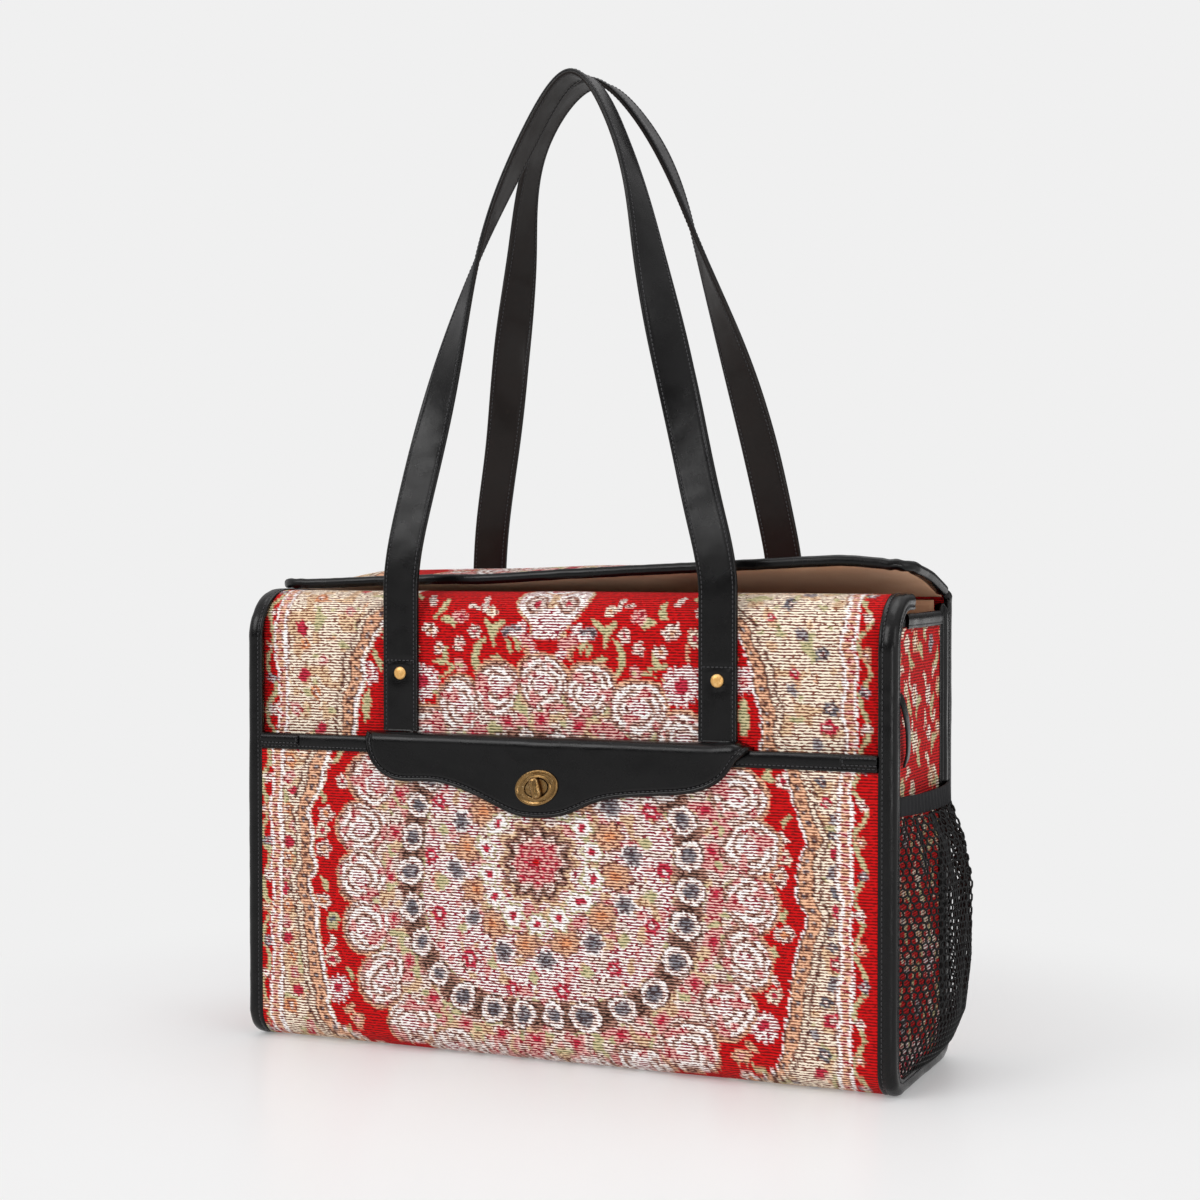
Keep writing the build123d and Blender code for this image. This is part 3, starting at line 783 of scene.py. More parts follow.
def paintCarpet(x, v):
    x, v = np.asarray(x, float), np.asarray(v, float)
    shaken = grain(x / 1.1, v / 0.875, 1) - 0.5
    v = (v + 210) % 420 - 210  # the design repeats down the cloth
    x = x + 1.5 * shaken
    v = v + 1.2 * (grain(x / 1.1, v / 0.875, 2) - 0.5)
    pulled = x + 4.5 * (drift(x, v, 13, 17) - 0.5)  # the cloth is never quite square
    v = v + 3.6 * (drift(x, v, 11, 18) - 0.5)
    x = pulled
    paint = newPaint(len(x), "cream")
    heights, widths = zip(*designSizes["fieldEdge"])
    edge = np.interp(v, heights, widths)
    paintColumns(paint, x, v, edge)
    lay(paint, np.abs(x + 3) < edge, "red")
    field = np.abs(x + 3) < edge
    kept = {key: value.copy() for key, value in paint.items()}
    middle = designSizes["centre"]
    for side in (-1, 1):
        for out, height, way, length, width, bend, yarn in fieldLeaves:
            turned = way if side > 0 else 180 - way
            leaf(paint, x, v, (middle + side * out, height), turned, length, width, bend * side, yarn)
        for out, height, radius, petals, petal, heart in fieldFlowers:
            flower(paint, x, v, (middle + side * out, height), radius, petals, petal, heart)
    # palmette high on the field, narrowing downwards, with a curl to each side and buds hanging below
    across, up = np.abs(x - middle), v
    half = np.interp(up, (157, 158, 163, 167, 172, 179, 190, 198, 206), (0, 9, 10, 13, 20, 23.5, 23, 18, 6))
    lay(paint, (half > 0) & (across < half + 1.6), "sand")
    lay(paint, across < half, "white")
    far = np.hypot(across - 11, up - 180)
    lay(paint, (far < 10.5) & (far > 8), "whiteLine")
    lay(paint, (far < 8), "brownLine")
    lay(paint, (far < 6) & (far > 3), "ivory")
    lay(paint, far < 2.4, "rose")
    lay(paint, (across < 2.6) & (up > 176) & (up < 192), "sand")
    bloom = np.hypot(across, (up - 198) * 1.15)
    lay(paint, bloom < 10.5, "peach")
    lay(paint, bloom < 9, "whiteLine")
    lay(paint, bloom < 5, "rose")
    lay(paint, bloom < 2, "cream")
    for side in (-1, 1):
        for out, height, way, length, width, bend, yarn in palmetteBuds:
            turned = way if side > 0 else 180 - way
            leaf(paint, x, v, (middle + side * out, height), turned, length, width, bend * side, yarn)
    for key in paint:
        paint[key][~field] = kept[key][~field]
    paintMedallion(paint, x, v)
    return paint


def paintScroll(x, v, seed):
    # all-over red ground with leaves, small flowers and a few large rosettes
    x, v = np.asarray(x, float), np.asarray(v, float)
    x = x + 1.5 * (grain(x / 1.1, v / 0.875, 1) - 0.5)
    paint = newPaint(len(x), "red")
    random = np.random.RandomState(seed)
    kinds = ("ivory", "cream", "olive", "slatePale", "peach")
    cell = 27.0
    for i in range(int(x.min() // cell) - 1, int(x.max() // cell) + 2):
        for j in range(int(v.min() // cell) - 1, int(v.max() // cell) + 2):
            a, b, c, d, e = random.rand(5)
            at = ((i + 0.2 + 0.6 * a) * cell, (j + 0.2 + 0.6 * b) * cell)
            leaf(paint, x, v, (at[0] + 11, at[1] - 8), 360 * c, 17, 6.0, 4, "olive")
            leaf(paint, x, v, (at[0] - 10, at[1] + 9), 360 * d, 12, 4.0, -3, "cream")
            if e > 0.9:
                flower(paint, x, v, at, 13.5, 13, "white", "rose", "pink")
            else:
                flower(paint, x, v, at, 5 + 2.5 * e, 6, kinds[int(c * 5)], kinds[int(d * 5)])
    return paint


def meltPaint(paint, keep):
    return {key: np.concatenate([value, value[keep]]) for key, value in paint.items()}


print("design ready")

# carpet cloth: front, base and back in one strip, with the pocket's second layer over it
clothSizes = {
    "thickness": 2.0,
    "columns": 290,
    "pocketColumns": 330,
    "row": 1.3,
    "backRow": 1.55,
    "hiddenRow": 9.0,
    "pocketRow": 1.1,
    "seam": 3.0,  # how far the cloth runs on into its end seams
    "bend": 24.0,
    "corner": 17.0,
    "pocketCorner": 19.0,
    "upperShift": 103.0,  # height of the design's centre behind the pocket
    "pocketShift": 124.0,
    "backShift": 132.0,
    "slack": 0.5,
    "pocketPuff": 0.6,
}


def slack(x, z, seed):
    # the cloth isn't drawn tight: shallow hollows a few centimetres wide
    return clothSizes["slack"] * (drift(x, z, 46, seed) + 0.5 * drift(x, z, 19, seed + 1) - 0.75)


def stripShell(x, path, outward, out, thickness, skip):
    # a sheet that runs across the bag and follows a path up and down it, lifted by out
    grid = np.zeros((len(path), len(x), 3))
    grid[..., 0] = x[None, :]
    grid[..., 1:] = path[:, None] + outward[:, None] * out[..., None]
    way = np.zeros_like(grid)
    way[..., 1:] = outward[:, None]
    return sheetShell(grid, way, thickness, skip)


def carpetStrip(name, path, outward, places, columns, seed, puff=0.0):
    x = np.linspace(-clothEnd - clothSizes["seam"], clothEnd + clothSizes["seam"], columns)
    edgeFall = 1 - ease(0.93, 1.0, np.abs(x) / x[-1])
    out = slack(x[None, :], path[:, 1][:, None] + 0 * x[None, :], seed)
    out = out + puff * edgeFall[None, :] * ease(0, 60, path[:, 1])[:, None]
    out = out * edgeFall[None, :]
    points, faces, keep = stripShell(x, path, outward, out, clothSizes["thickness"] - 0.4, 7)
    flatX, flatV = np.tile(x, len(path)), np.repeat(places, columns)
    uv = np.stack([flatX, flatV], 1)
    paint = meltPaint(paintCarpet(flatX, flatV), keep)
    return makeObject(name, points, faces, carpet, np.concatenate([uv, uv[keep]]), paint)


def panelStep(here):
    y, z = here
    if y > 36 or (y < frontFace + 40 and z > 178):
        return clothSizes["row"] if y < 0 else clothSizes["backRow"]
    return clothSizes["hiddenRow"]


outerPath, outerWay, outerFar = roundedPath(
    [
        (-24, frontTop),
        (frontFace, frontTop),
        (frontFace, panelLow[2]),
        (backFace, panelLow[2]),
        (backFace, panelHigh[2] - 4),
    ],
    [clothSizes["bend"], clothSizes["corner"], clothSizes["corner"]],
    panelStep,
)


def outerPlaces():
    # strip position measured from the floor line of the front, going up the front and down the back
    known = 250.0  # a height on the flat front, where place and height agree
    front = known + np.interp(known, outerPath[:60, 1][::-1], outerFar[:60][::-1]) - outerFar
    low = outerFar[np.argmin(np.abs(outerPath[:, 0] - 40) + np.abs(outerPath[:, 1] - 2))]
    behind = low - outerFar - 72
    return np.where(outerFar < 420, front - clothSizes["upperShift"], behind + clothSizes["backShift"])


outerPanel = carpetStrip("outerPanel", outerPath, outerWay, outerPlaces(), clothSizes["columns"], 21)
seatPiece(outerPanel, "bag", "outer_panel")


def pocketStep(here):
    return clothSizes["pocketRow"] if here[1] > 14 else 4.0


pocketPath, pocketWay, pocketFar = roundedPath(
    [(pocketLow[1], pocketHigh[2]), (pocketLow[1], 0), (pocketHigh[1], 0)],
    [clothSizes["pocketCorner"]],
    pocketStep,
)
pocketPlaces = pocketHigh[2] - pocketFar - clothSizes["pocketShift"]
pocketPanel = carpetStrip(
    "pocketPanel",
    pocketPath,
    pocketWay,
    pocketPlaces,
    clothSizes["pocketColumns"],
    31,
    clothSizes["pocketPuff"],
)
seatPiece(pocketPanel, "bag", "pocket_panel")
print("front, back and pocket cloth made")

gussetSizes = {
    "rows": 150,
    "columns": 66,
    "cloth": 1.6,
    "frontBend": 20.0,
    "corner": 11.0,
    "hollow": 1.6,
    "seam": 1.2,  # how far the cloth runs on into its seams
}
gussetLow, gussetHigh = nodeBox("right_gusset")


def endSpan(z, low, high, grow):
    # front and back limit of an end panel at a height, with its rounded corners
    front = np.full_like(z, low[1] - grow)
    back = np.full_like(z, high[1] + grow)
    r = gussetSizes["corner"]
    under = np.clip(r - (z - low[2] + grow), 0, r)
    pull = r - np.sqrt(r * r - under * under)
    b = gussetSizes["frontBend"]
    over = np.clip(b - (high[2] + grow - z), 0, b)
    lean = b - np.sqrt(b * b - over * over)
    return front + pull + lean, back - pull


def endPanel(side, depth, grow, thickness, rows, columns):
    z = np.linspace(gussetLow[2] - grow, gussetHigh[2] + grow, rows)
    front, back = endSpan(z, gussetLow, gussetHigh, grow)
    share = np.linspace(0, 1, columns)
    y = front[:, None] * (1 - share)[None, :] + back[:, None] * share[None, :]
    height = np.repeat(z[:, None], columns, 1)
    inward = gussetSizes["hollow"] * np.sin(np.pi * share)[None, :]
    inward = inward * np.sin(np.pi * np.linspace(0, 1, rows))[:, None] ** 0.6
    inward = inward + 0.8 * (drift(y, height, 38, 7 + side) - 0.5)
    grid = np.stack([side * (depth - inward), y, height], -1)
    way = np.zeros_like(grid)
    way[..., 0] = side
    points, faces, keep = sheetShell(grid, way, thickness, 5)
    return points, faces, keep, y.ravel(), height.ravel()


for side, name in ((1, "rightGusset"), (-1, "leftGusset")):
    rows, columns = gussetSizes["rows"], gussetSizes["columns"]
    shell = endPanel(side, gussetHigh[0], gussetSizes["seam"], gussetSizes["cloth"], rows, columns)
    points, faces, keep, y, z = shell
    uv = np.stack([y, z], 1)
    paint = meltPaint(paintScroll(y, z, 8 + side), keep)
    gusset = makeObject(name, points, faces, carpet, np.concatenate([uv, uv[keep]]), paint)
    seatPiece(gusset, "bag", "right_gusset" if side > 0 else "left_gusset")
print("end panels made")

# tan lining of the body
liningSizes = {
    "inset": 3.6, "thickness": 0.8, "base": 6.9, "crease": 0.5, "columns": 130, "endThickness": 0.7
}
liningPath, liningWay, liningFar = roundedPath(
    [
        (-24, frontTop - liningSizes["inset"]),
        (frontFace + liningSizes["inset"], frontTop - liningSizes["inset"]),
        (frontFace + liningSizes["inset"], liningSizes["base"]),
        (backFace - liningSizes["inset"], liningSizes["base"]),
        (backFace - liningSizes["inset"], frontTop - 5),
    ],
    [20.4, 13.4, 13.4],
    3.0,
)
x = np.linspace(-clothEnd, clothEnd, liningSizes["columns"])
crease = liningSizes["crease"] * (drift(x[None, :], liningFar[:, None] + 0 * x[None, :], 24, 51) - 1.0)
points, faces, _ = stripShell(x, liningPath, liningWay, crease, liningSizes["thickness"], 1)
liningStrip = makeObject("liningStrip", points, faces, lining)
seatPiece(liningStrip, "bag", "lining_strip")
for side, name in ((1, "rightLining"), (-1, "leftLining")):
    points, faces, *_ = endPanel(side, gussetHigh[0] - 3.0, -0.4, liningSizes["endThickness"], 70, 34)
    endLining = makeObject(name, points, faces, lining)
    seatPiece(endLining, "bag", "right_lining" if side > 0 else "left_lining")
print("linings made")

# stitch rows are gathered here for each group, and sewn near the end
stitchRows = {}


def addStitches(group, line, outward, pitch, lift=0.12):
    # remembers evenly spaced stitches along a line, standing a little above it
    line, outward = np.asarray(line, float), np.asarray(outward, float)
    far = runLength(line)
    count = max(int(far[-1] / pitch), 1)
    places = (np.arange(count) + 0.5) * far[-1] / count
    along = pointsAt(places + 0.3, far, line) - pointsAt(places - 0.3, far, line)
    along /= np.linalg.norm(along, axis=1)[:, None]
    spots = pointsAt(places, far, line) + pointsAt(places, far, outward) * lift
    stitchRows.setdefault(group, []).append((spots, along))


bindingSizes = {
    "section": [  # across from the cloth side, and how far in from the outer face
        (0.0, 2.6), (0.0, 0.9), (0.5, 0.25), (1.4, 0.05), (2.2, 0.35), (2.7, 0.5), (3.2, 0.35), (4.2, 0.0),
        (6.2, -0.1), (8.0, 0.15), (9.4, 0.8), (10.3, 1.8), (10.85, 3.0), (11.0, 4.4), (10.9, 5.8),
        (10.75, 6.6), (10.55, 7.1), (10.75, 7.6), (10.85, 8.6), (10.6, 9.5), (9.9, 9.9), (8.9, 9.6),
        (8.7, 5.0), (7.4, 3.4), (4.0, 2.9),
    ],
    "middle": (6.5, 3.6),  # where the section shrinks to at its two ends
    "faceStitch": (2.7, 0.45),
    "sideStitch": (10.6, 7.1),
    "pitch": 3.0,
    "pucker": 0.45,
}
bindingPath, bindingWay, bindingFar = roundedPath(
    [
        (-24, edgeHigh[2]),
        (edgeLow[1], edgeHigh[2]),
        (edgeLow[1], edgeLow[2]),
        (edgeHigh[1], edgeLow[2]),
        (edgeHigh[1], frontTop + 1.6),
        (edgeHigh[1] - 7.6, frontTop + 1.6),
    ],
    [32, 19, 19, 5.5],
    1.6,
)


def bindingShape(side):
    section = np.array(bindingSizes["section"])
    stations = len(bindingPath)
    shape = np.zeros((stations, len(section), 3))
    # puckers where the leather turns a corner, and faint waves elsewhere
    turn = np.linalg.norm(np.gradient(bindingWay, axis=0), axis=1)
    turn = np.convolve(turn, np.ones(9) / 9, "same")
    turn = turn / turn.max()
    wave = drift(bindingFar, bindingFar * 0, 5.5, 61 + side) - 0.5
    slow = drift(bindingFar, bindingFar * 0, 31, 65 + side) - 0.5
    lift = bindingSizes["pucker"] * (wave * (0.35 + 1.6 * turn) + 0.7 * slow)
    ends = np.minimum(bindingFar, bindingFar[-1] - bindingFar)
    shrink = np.sqrt(np.clip(1 - (1 - np.clip(ends / 3.2, 0, 1)) ** 2, 0.05, 1))
    middle = bindingSizes["middle"]
    for k, (across, inward) in enumerate(section):
        a = middle[0] + (across - middle[0]) * shrink
        n = middle[1] + (inward - middle[1]) * shrink
        n = n - lift * (1 if inward < 6 else 0.2)
        a = a + (0.6 * lift if across > 8 else 0)
        shape[:, k, 0] = side * (clothEnd + np.clip(a, None, 11.3))
        shape[:, k, 1] = bindingPath[:, 0] - bindingWay[:, 0] * n
        shape[:, k, 2] = np.maximum(bindingPath[:, 1] - bindingWay[:, 1] * n, 0.0)
    return shape


for side, name in ((1, "rightEdgeBinding"), (-1, "leftEdgeBinding")):
    points, faces = sweep(bindingShape(side))
    binding = makeObject(name, points, faces, leather)
    seatPiece(binding, "bag", "right_edge_binding" if side > 0 else "left_edge_binding")
    faceWay = np.zeros((len(bindingPath), 3))
    faceWay[:, 1:] = bindingWay
    sideWay = np.tile([side, 0, 0], (len(bindingPath), 1))
    for row, way, lift in (("faceStitch", faceWay, 0.12), ("sideStitch", sideWay, 0.2)):
        across, inward = bindingSizes[row]
        line = np.zeros_like(faceWay)
        line[:, 0] = side * (clothEnd + across)
        line[:, 1:] = bindingPath - bindingWay * inward
        addStitches("bagStitches", line[4:-3], way[4:-3], bindingSizes["pitch"], lift)

# padded leather ridge down the back seam of each end
ridgeSizes = {
    "front": 38.5,
    "back": 52.0,
    "stand": 3.2,
    "low": 13.0,
    "high": 281.0,
    "around": 13,
    "stations": 110,
    "groove": 0.5,  # the stitched line, at about a quarter of its width
    "pitch": 3.0,
}
for side, name in ((1, "rightSeamRidge"), (-1, "leftSeamRidge")):
    z = np.linspace(ridgeSizes["low"], ridgeSizes["high"], ridgeSizes["stations"])
    share = np.linspace(0, 1, ridgeSizes["around"])
    ends = np.minimum(z - ridgeSizes["low"], ridgeSizes["high"] - z)
    shrink = np.sqrt(np.clip(1 - (1 - np.clip(ends / 6, 0, 1)) ** 2, 0.03, 1))
    middle = (ridgeSizes["front"] + ridgeSizes["back"]) / 2
    half = (ridgeSizes["back"] - ridgeSizes["front"]) / 2 * shrink
    swell = ridgeSizes["stand"] * shrink * (1 + 0.14 * (drift(z, z * 0, 26, 141 + side) - 0.5))
    lean = 1.2 * (drift(z, z * 0, 70, 143) - 0.5)
    shape = np.zeros((len(z), ridgeSizes["around"] + 2, 3))
    for k, part in enumerate(share):
        bow = math.sin(math.pi * part) ** 0.55
        groove = ridgeSizes["groove"] * math.exp(-(((part - 0.24) / 0.05) ** 2))
        shape[:, k, 0] = side * (gussetHigh[0] - 0.4 + swell * (bow - groove * shrink))
        shape[:, k, 1] = middle + half * (2 * part - 1) + lean
        shape[:, k, 2] = z
    for k, part in ((-2, 1.0), (-1, 0.0)):
        shape[:, k, 0] = side * (gussetHigh[0] - 1.2)
        shape[:, k, 1] = middle + half * (2 * part - 1) * 0.96 + lean
        shape[:, k, 2] = z
    points, faces = sweep(shape)
    ridge = makeObject(name, points, faces, leather)
    seatPiece(ridge, "bag", None)
    line = np.stack([shape[6:-6, 3, 0], shape[6:-6, 3, 1], z[6:-6]], 1)
    addStitches("bagStitches", line, np.tile([side, 0, 0], (len(line), 1)), ridgeSizes["pitch"], 0.15)

# leather along the top of each end panel
topSizes = {
    "section": [
        (0, 0.6), (1.0, 0.05), (1.9, 0.4), (2.9, 0.0), (5.5, -0.2), (7.6, 0.2), (8.7, 1.0), (9.0, 2.2),
        (8.6, 3.4), (7.6, 4.0), (1.0, 3.8), (0, 3.2),
    ],
    "stations": 60,
    "frontRun": 15,  # how far it runs on under the front edge
    "stitchHeight": 1.9,
    "pitch": 3.0,
}
topLow, topHigh = nodeBox("right_gusset_binding")
for side, name in ((1, "rightGussetBinding"), (-1, "leftGussetBinding")):
    y = np.linspace(topLow[1] - topSizes["frontRun"], topHigh[1] + 1, topSizes["stations"])
    section = np.array(topSizes["section"])
    shape = np.zeros((len(y), len(section), 3))
    wobble = 0.35 * (drift(y, y * 0, 9, 71) - 0.5)
    for k, (up, inward) in enumerate(section):
        shape[:, k, 0] = side * (topHigh[0] - inward + wobble + 0.2)
        shape[:, k, 1] = y
        shape[:, k, 2] = topLow[2] + up + wobble
    points, faces = sweep(shape)
    trim = makeObject(name, points, faces, leather)
    seatPiece(trim, "bag", "right_gusset_binding" if side > 0 else "left_gusset_binding")
    line = np.stack([0 * y + side * (topHigh[0] - 0.2), y, 0 * y + topLow[2] + topSizes["stitchHeight"]], 1)
    addStitches("bagStitches", line, np.tile([side, 0, 0], (len(y), 1)), topSizes["pitch"], 0.1)

# leather trim along the pocket mouth, with a doubled end at each side
trimSizes = {
    "section": [
        (0.0, 0.5), (0.5, 0.05), (1.5, -0.05), (2.1, 0.25), (2.7, -0.05), (4.4, -0.25), (7.2, -0.25),
        (9.0, 0.1), (9.8, 0.8), (10.0, 1.6), (9.6, 2.6), (8.8, 3.0), (0.6, 3.0), (0.0, 2.6),
    ],
    "ends": ((-204, -176), (182, 204)),
    "endStand": 0.8,
    "stitchHeight": 2.1,
    "pitch": 2.8,
    "endPitch": 2.6,
}
trimLow, trimHigh = nodeBox("pocket_binding")


def trimShape(x, stand, low, high):
    section = np.array(trimSizes["section"])
    shape = np.zeros((len(x), len(section), 3))
    wobble = 0.3 * (drift(x, x * 0, 17, 81) - 0.5)
    for k, (up, inward) in enumerate(section):
        shape[:, k, 0] = x
        shape[:, k, 1] = trimLow[1] + inward - stand - wobble
        shape[:, k, 2] = low + up / 10 * (high - low) + 0.5 * wobble
    return shape


points, faces = sweep(trimShape(np.linspace(trimLow[0], trimHigh[0], 220), 0, trimLow[2], trimHigh[2]))
mouthTrim = makeObject("pocketBinding", points, faces, leather)
seatPiece(mouthTrim, "bag", "pocket_binding")
x = np.linspace(trimLow[0] + 1, trimHigh[0] - 1, 200)
line = np.stack([x, 0 * x + trimLow[1] + 0.2, 0 * x + trimLow[2] + trimSizes["stitchHeight"]], 1)
addStitches("bagStitches", line, np.tile([0, -1, 0], (len(x), 1)), trimSizes["pitch"])
for number, (left, right) in enumerate(trimSizes["ends"]):
    x = np.linspace(left, right, 24)
    points, faces = sweep(trimShape(x, trimSizes["endStand"], trimLow[2] + 2.6, trimHigh[2] - 0.6))
    endPatch = makeObject(f"pocketTrimEnd{number}", points, faces, leather)
    seatPiece(endPatch, "bag", None)
    depth = trimLow[1] - trimSizes["endStand"] - 0.1
    low, high = trimLow[2] + 4.0, trimHigh[2] - 1.9
    inner = right - 1.6 if left < 0 else left + 1.6
    outer = left if left < 0 else right
    path = np.array([(outer, depth, low), (inner, depth, low), (inner, depth, high), (outer, depth, high)])
    addStitches("bagStitches", path, np.tile([0, -1, 0], (4, 1)), trimSizes["endPitch"])
print("bindings made")

# two shoulder straps of doubled leather, turning edge-on towards the top
strapSizes = {
    "width": 24.0,
    "leather": 3.2,
    "x": 105.5,
    "tabTop": 288.0,
    "twistStart": 360.0,
    "twistEnd": 580.0,
    "leanEnd": 600.0,
    "rivetHeight": 237.0,
    "seam": 245.0,
    "lean": -13.5,  # how far from the bag's middle the top of each strap hangs
    "stations": 230,
    "pitch": 2.8,
    "seamPitch": 2.6,
    "inset": 2.3,
}
strapRoutes = {
    "front": [
        (-105.5, 288), (-100.5, 340), (-87, 410), (-67, 500), (-37, 575), (-7, 611.5),
        (22, 575), (49, 495), (78, 395), (95, 335), (105.5, 288),
    ],
    "rear": [
        (-105.5, 288), (-100, 333), (-89, 384), (-77, 448), (-65, 508), (-38, 590), (-8, 612),
        (22, 590), (59, 502), (76.5, 443), (92, 381), (101, 333), (105.5, 288),
    ],
}
handleFoot = nodeBox("front_handle")[0][2]
strapFace = frontFace - 0.2
strapMiddle = strapFace - strapSizes["leather"] / 2


def strapDepth(height):
    rise = min(max((height - strapSizes["tabTop"]) / (strapSizes["leanEnd"] - strapSizes["tabTop"]), 0), 1)
    return strapMiddle + (strapSizes["lean"] - strapMiddle) * rise**1.1


def strapSection():
    # one face of the doubled leather, then the other: stitched edges, and a groove where the layers meet
    face = [
        (-12.0, 0.35), (-12.05, 0.8), (-11.8, 1.3), (-11.2, 1.62), (-10.4, 1.66), (-9.7, 1.35), (-9.0, 1.55)
    ]
    face += [(a, 1.5) for a in (-7.5, -6.0, -4.5, -3.0, -1.5, 0.0)]
    face += [(-a, o) for a, o in face[:-1][::-1]]
    back = [(-a, -o) for a, o in face]
    return face + [(11.75, 0.0)] + back + [(-11.75, 0.0)]


for side, key in ((-1, "front"), (1, "rear")):
    route = [(px, -side * strapDepth(pz), pz) for px, pz in strapRoutes[key]]
    line, along = splineThrough(route, (0, 0, 1), (0, 0, -1), strapSizes["stations"])
    climb = np.arange(handleFoot, strapSizes["tabTop"] - 0.7, 1.4)
    left = np.stack([0 * climb - strapSizes["x"], 0 * climb - side * strapMiddle, climb], 1)
    rising = np.tile([0.0, 0, 1], (len(left), 1))
    line = np.concatenate([left, line, left[::-1] * [-1, 1, 1]])
    along = np.concatenate([rising, along, -rising])
    leg = np.where(np.arange(len(line)) < len(line) // 2, 1, -1)
    turn = ease(strapSizes["twistStart"], strapSizes["twistEnd"], line[:, 2]) * math.pi / 2
    across = np.stack([leg * np.cos(turn), side * np.sin(turn), 0 * turn], 1)
    across -= along * (across * along).sum(1)[:, None]
    across /= np.linalg.norm(across, axis=1)[:, None]
    outward = side * np.cross(along, across)
    section = np.array(strapSection())
    shape = np.zeros((len(line), len(section), 3))
    fromRivet = line[:, 2] - strapSizes["rivetHeight"]
    onTab = line[:, 2] < strapSizes["tabTop"] - 20
    for k, (a, o) in enumerate(section):
        dent = np.zeros(len(line))
        if o > 0:
            # drawn in round the rivet and along the seam, and padded between the seam's stitches below it
            dent = 0.65 * np.exp(-((np.hypot(fromRivet, a) / 6.0) ** 2))
            dent += 0.3 * np.exp(-(((line[:, 2] - strapSizes["seam"]) / 0.9) ** 2)) * (abs(a) < 10.5)
            padded = (line[:, 2] < strapSizes["seam"] - 1) * (abs(a) < 9.3)
            dent -= 0.35 * padded * (1 - np.exp(-((np.hypot(fromRivet, a) / 5.0) ** 2)))
        shape[:, k] = line + across * a + outward * (o - onTab * dent)[:, None]
    points, faces = sweep(shape)
    strap = makeObject(f"{key}Handle", points, faces, leather)
    strap.data.materials.append(strapBack)
    column = np.arange(len(strap.data.polygons)) % len(section)
    slots = (column >= len(section) // 2).astype(int)  # the second face is the strap's lining
    slots[-2:] = 0
    strap.data.polygons.foreach_set("material_index", slots)
    seatPiece(strap, "bag", f"{key}_handle")
    edge = strapSizes["width"] / 2 - strapSizes["inset"]
    for sign in (-1, 1):
        for face in (-1, 1):
            row = line + across * edge * sign + outward * face * 1.45
            addStitches("strapStitches", row, outward * face, strapSizes["pitch"])
    for px in (-strapSizes["x"], strapSizes["x"]):
        ends = [(px + a, side * (1.4 - strapMiddle), strapSizes["seam"]) for a in (-edge, edge)]
        addStitches("strapStitches", ends, [[0, side, 0]] * 2, strapSizes["seamPitch"])
print("straps made")


def lathe(rings, centre, toward, turned=0.0, around=36):
    # rings of (half length, half height, how far out), from the outside in
    first = Vector((math.cos(turned), 0, math.sin(turned)))
    second = Vector(toward).cross(first)
    rows = []
    for a, b, out in rings:
        t = np.linspace(0, 2 * math.pi, around, endpoint=False)
        spot = np.array(centre) + np.outer(np.cos(t) * a, first) + np.outer(np.sin(t) * b, second)
        rows.append(spot + np.array(toward) * out)
    return np.array(rows)


rivetSizes = {
    "rings": [
        (1.4, 0.0), (3.9, 0.0), (4.05, 0.25), (4.0, 0.7), (3.6, 1.15), (2.8, 1.55), (1.7, 1.8), (0.6, 1.88),
        (0.05, 1.9),
    ]
}
for side, key in ((-1, "front"), (1, "rear")):
    allPoints, allFaces = [], []
    for px in (-strapSizes["x"], strapSizes["x"]):
        at = (px, -side * strapMiddle + side * 1.15, strapSizes["rivetHeight"])
        rings = [(0.05, 0.05, -2.0), (1.4, 1.4, -2.0)] + [(r, r, out) for r, out in rivetSizes["rings"]]
        shape = lathe(rings, at, (0, side, 0))
        points, faces = sweep(shape)
        allFaces += [[index + len(allPoints) for index in face] for face in faces]
        allPoints += points.tolist()
    caps = makeObject(f"{key}RivetCaps", allPoints, allFaces, rivetBrass)
    seatPiece(caps, "bag", f"{key}_rivet_caps")
print("rivets made")

# leather flap that folds over the pocket mouth
flapSizes = {
    "fold": 5.5,
    "columns": 230,
    "line": [
        (-126, 5.0), (-125.6, 14), (-121.5, 28.0), (-109, 37.8), (-80, 39.0), (-57, 43.5), (-38, 51.0),
        (-21, 57.2), (-4, 57.9), (12, 55.0), (30, 47.4), (50, 43.2), (76, 40.8), (97, 37.4), (111, 30.0),
        (120, 19.0), (127, 8.0), (127.5, 4.0),
    ],
    "bead": [
        (0.0, 1.25), (0.25, 0.4), (0.8, -0.3), (1.6, -0.75), (2.4, -0.45), (3.1, 0.8), (3.8, 0.15),
        (5.0, -0.1),
    ],
    "stitch": 3.0,
    "pitch": 2.9,
}
flapLow, flapHigh = nodeBox("pocket_flap")
flapPath, flapWay, flapFar = roundedPath(
    [(flapHigh[1], flapHigh[2]), (flapLow[1], flapHigh[2]), (flapLow[1], flapLow[2] - 6)],
    [flapSizes["fold"]],
    0.5,
)
edgePoints = [(px, 0, pt) for px, pt in flapSizes["line"]]
edgeLine, _ = splineThrough(edgePoints, (0, 0, 1), (0, 0, -1), flapSizes["columns"])
edgeLine[:, 0] = np.maximum.accumulate(edgeLine[:, 0])


def bendFlap(px, pt, off):
    off = off + 1.6 * ease(102, 118, px) * (1 - ease(8, 24, pt))  # the fold springs up near its right end
    y = np.interp(pt, flapFar, flapPath[:, 0]) + np.interp(pt, flapFar, flapWay[:, 0]) * off
    z = np.interp(pt, flapFar, flapPath[:, 1]) + np.interp(pt, flapFar, flapWay[:, 1]) * off
    z = z - 3.0 * ease(117, 127.5, px) * (1 - ease(10, 26, pt))  # and droops at the very end
    return np.stack([px, y, z], -1)


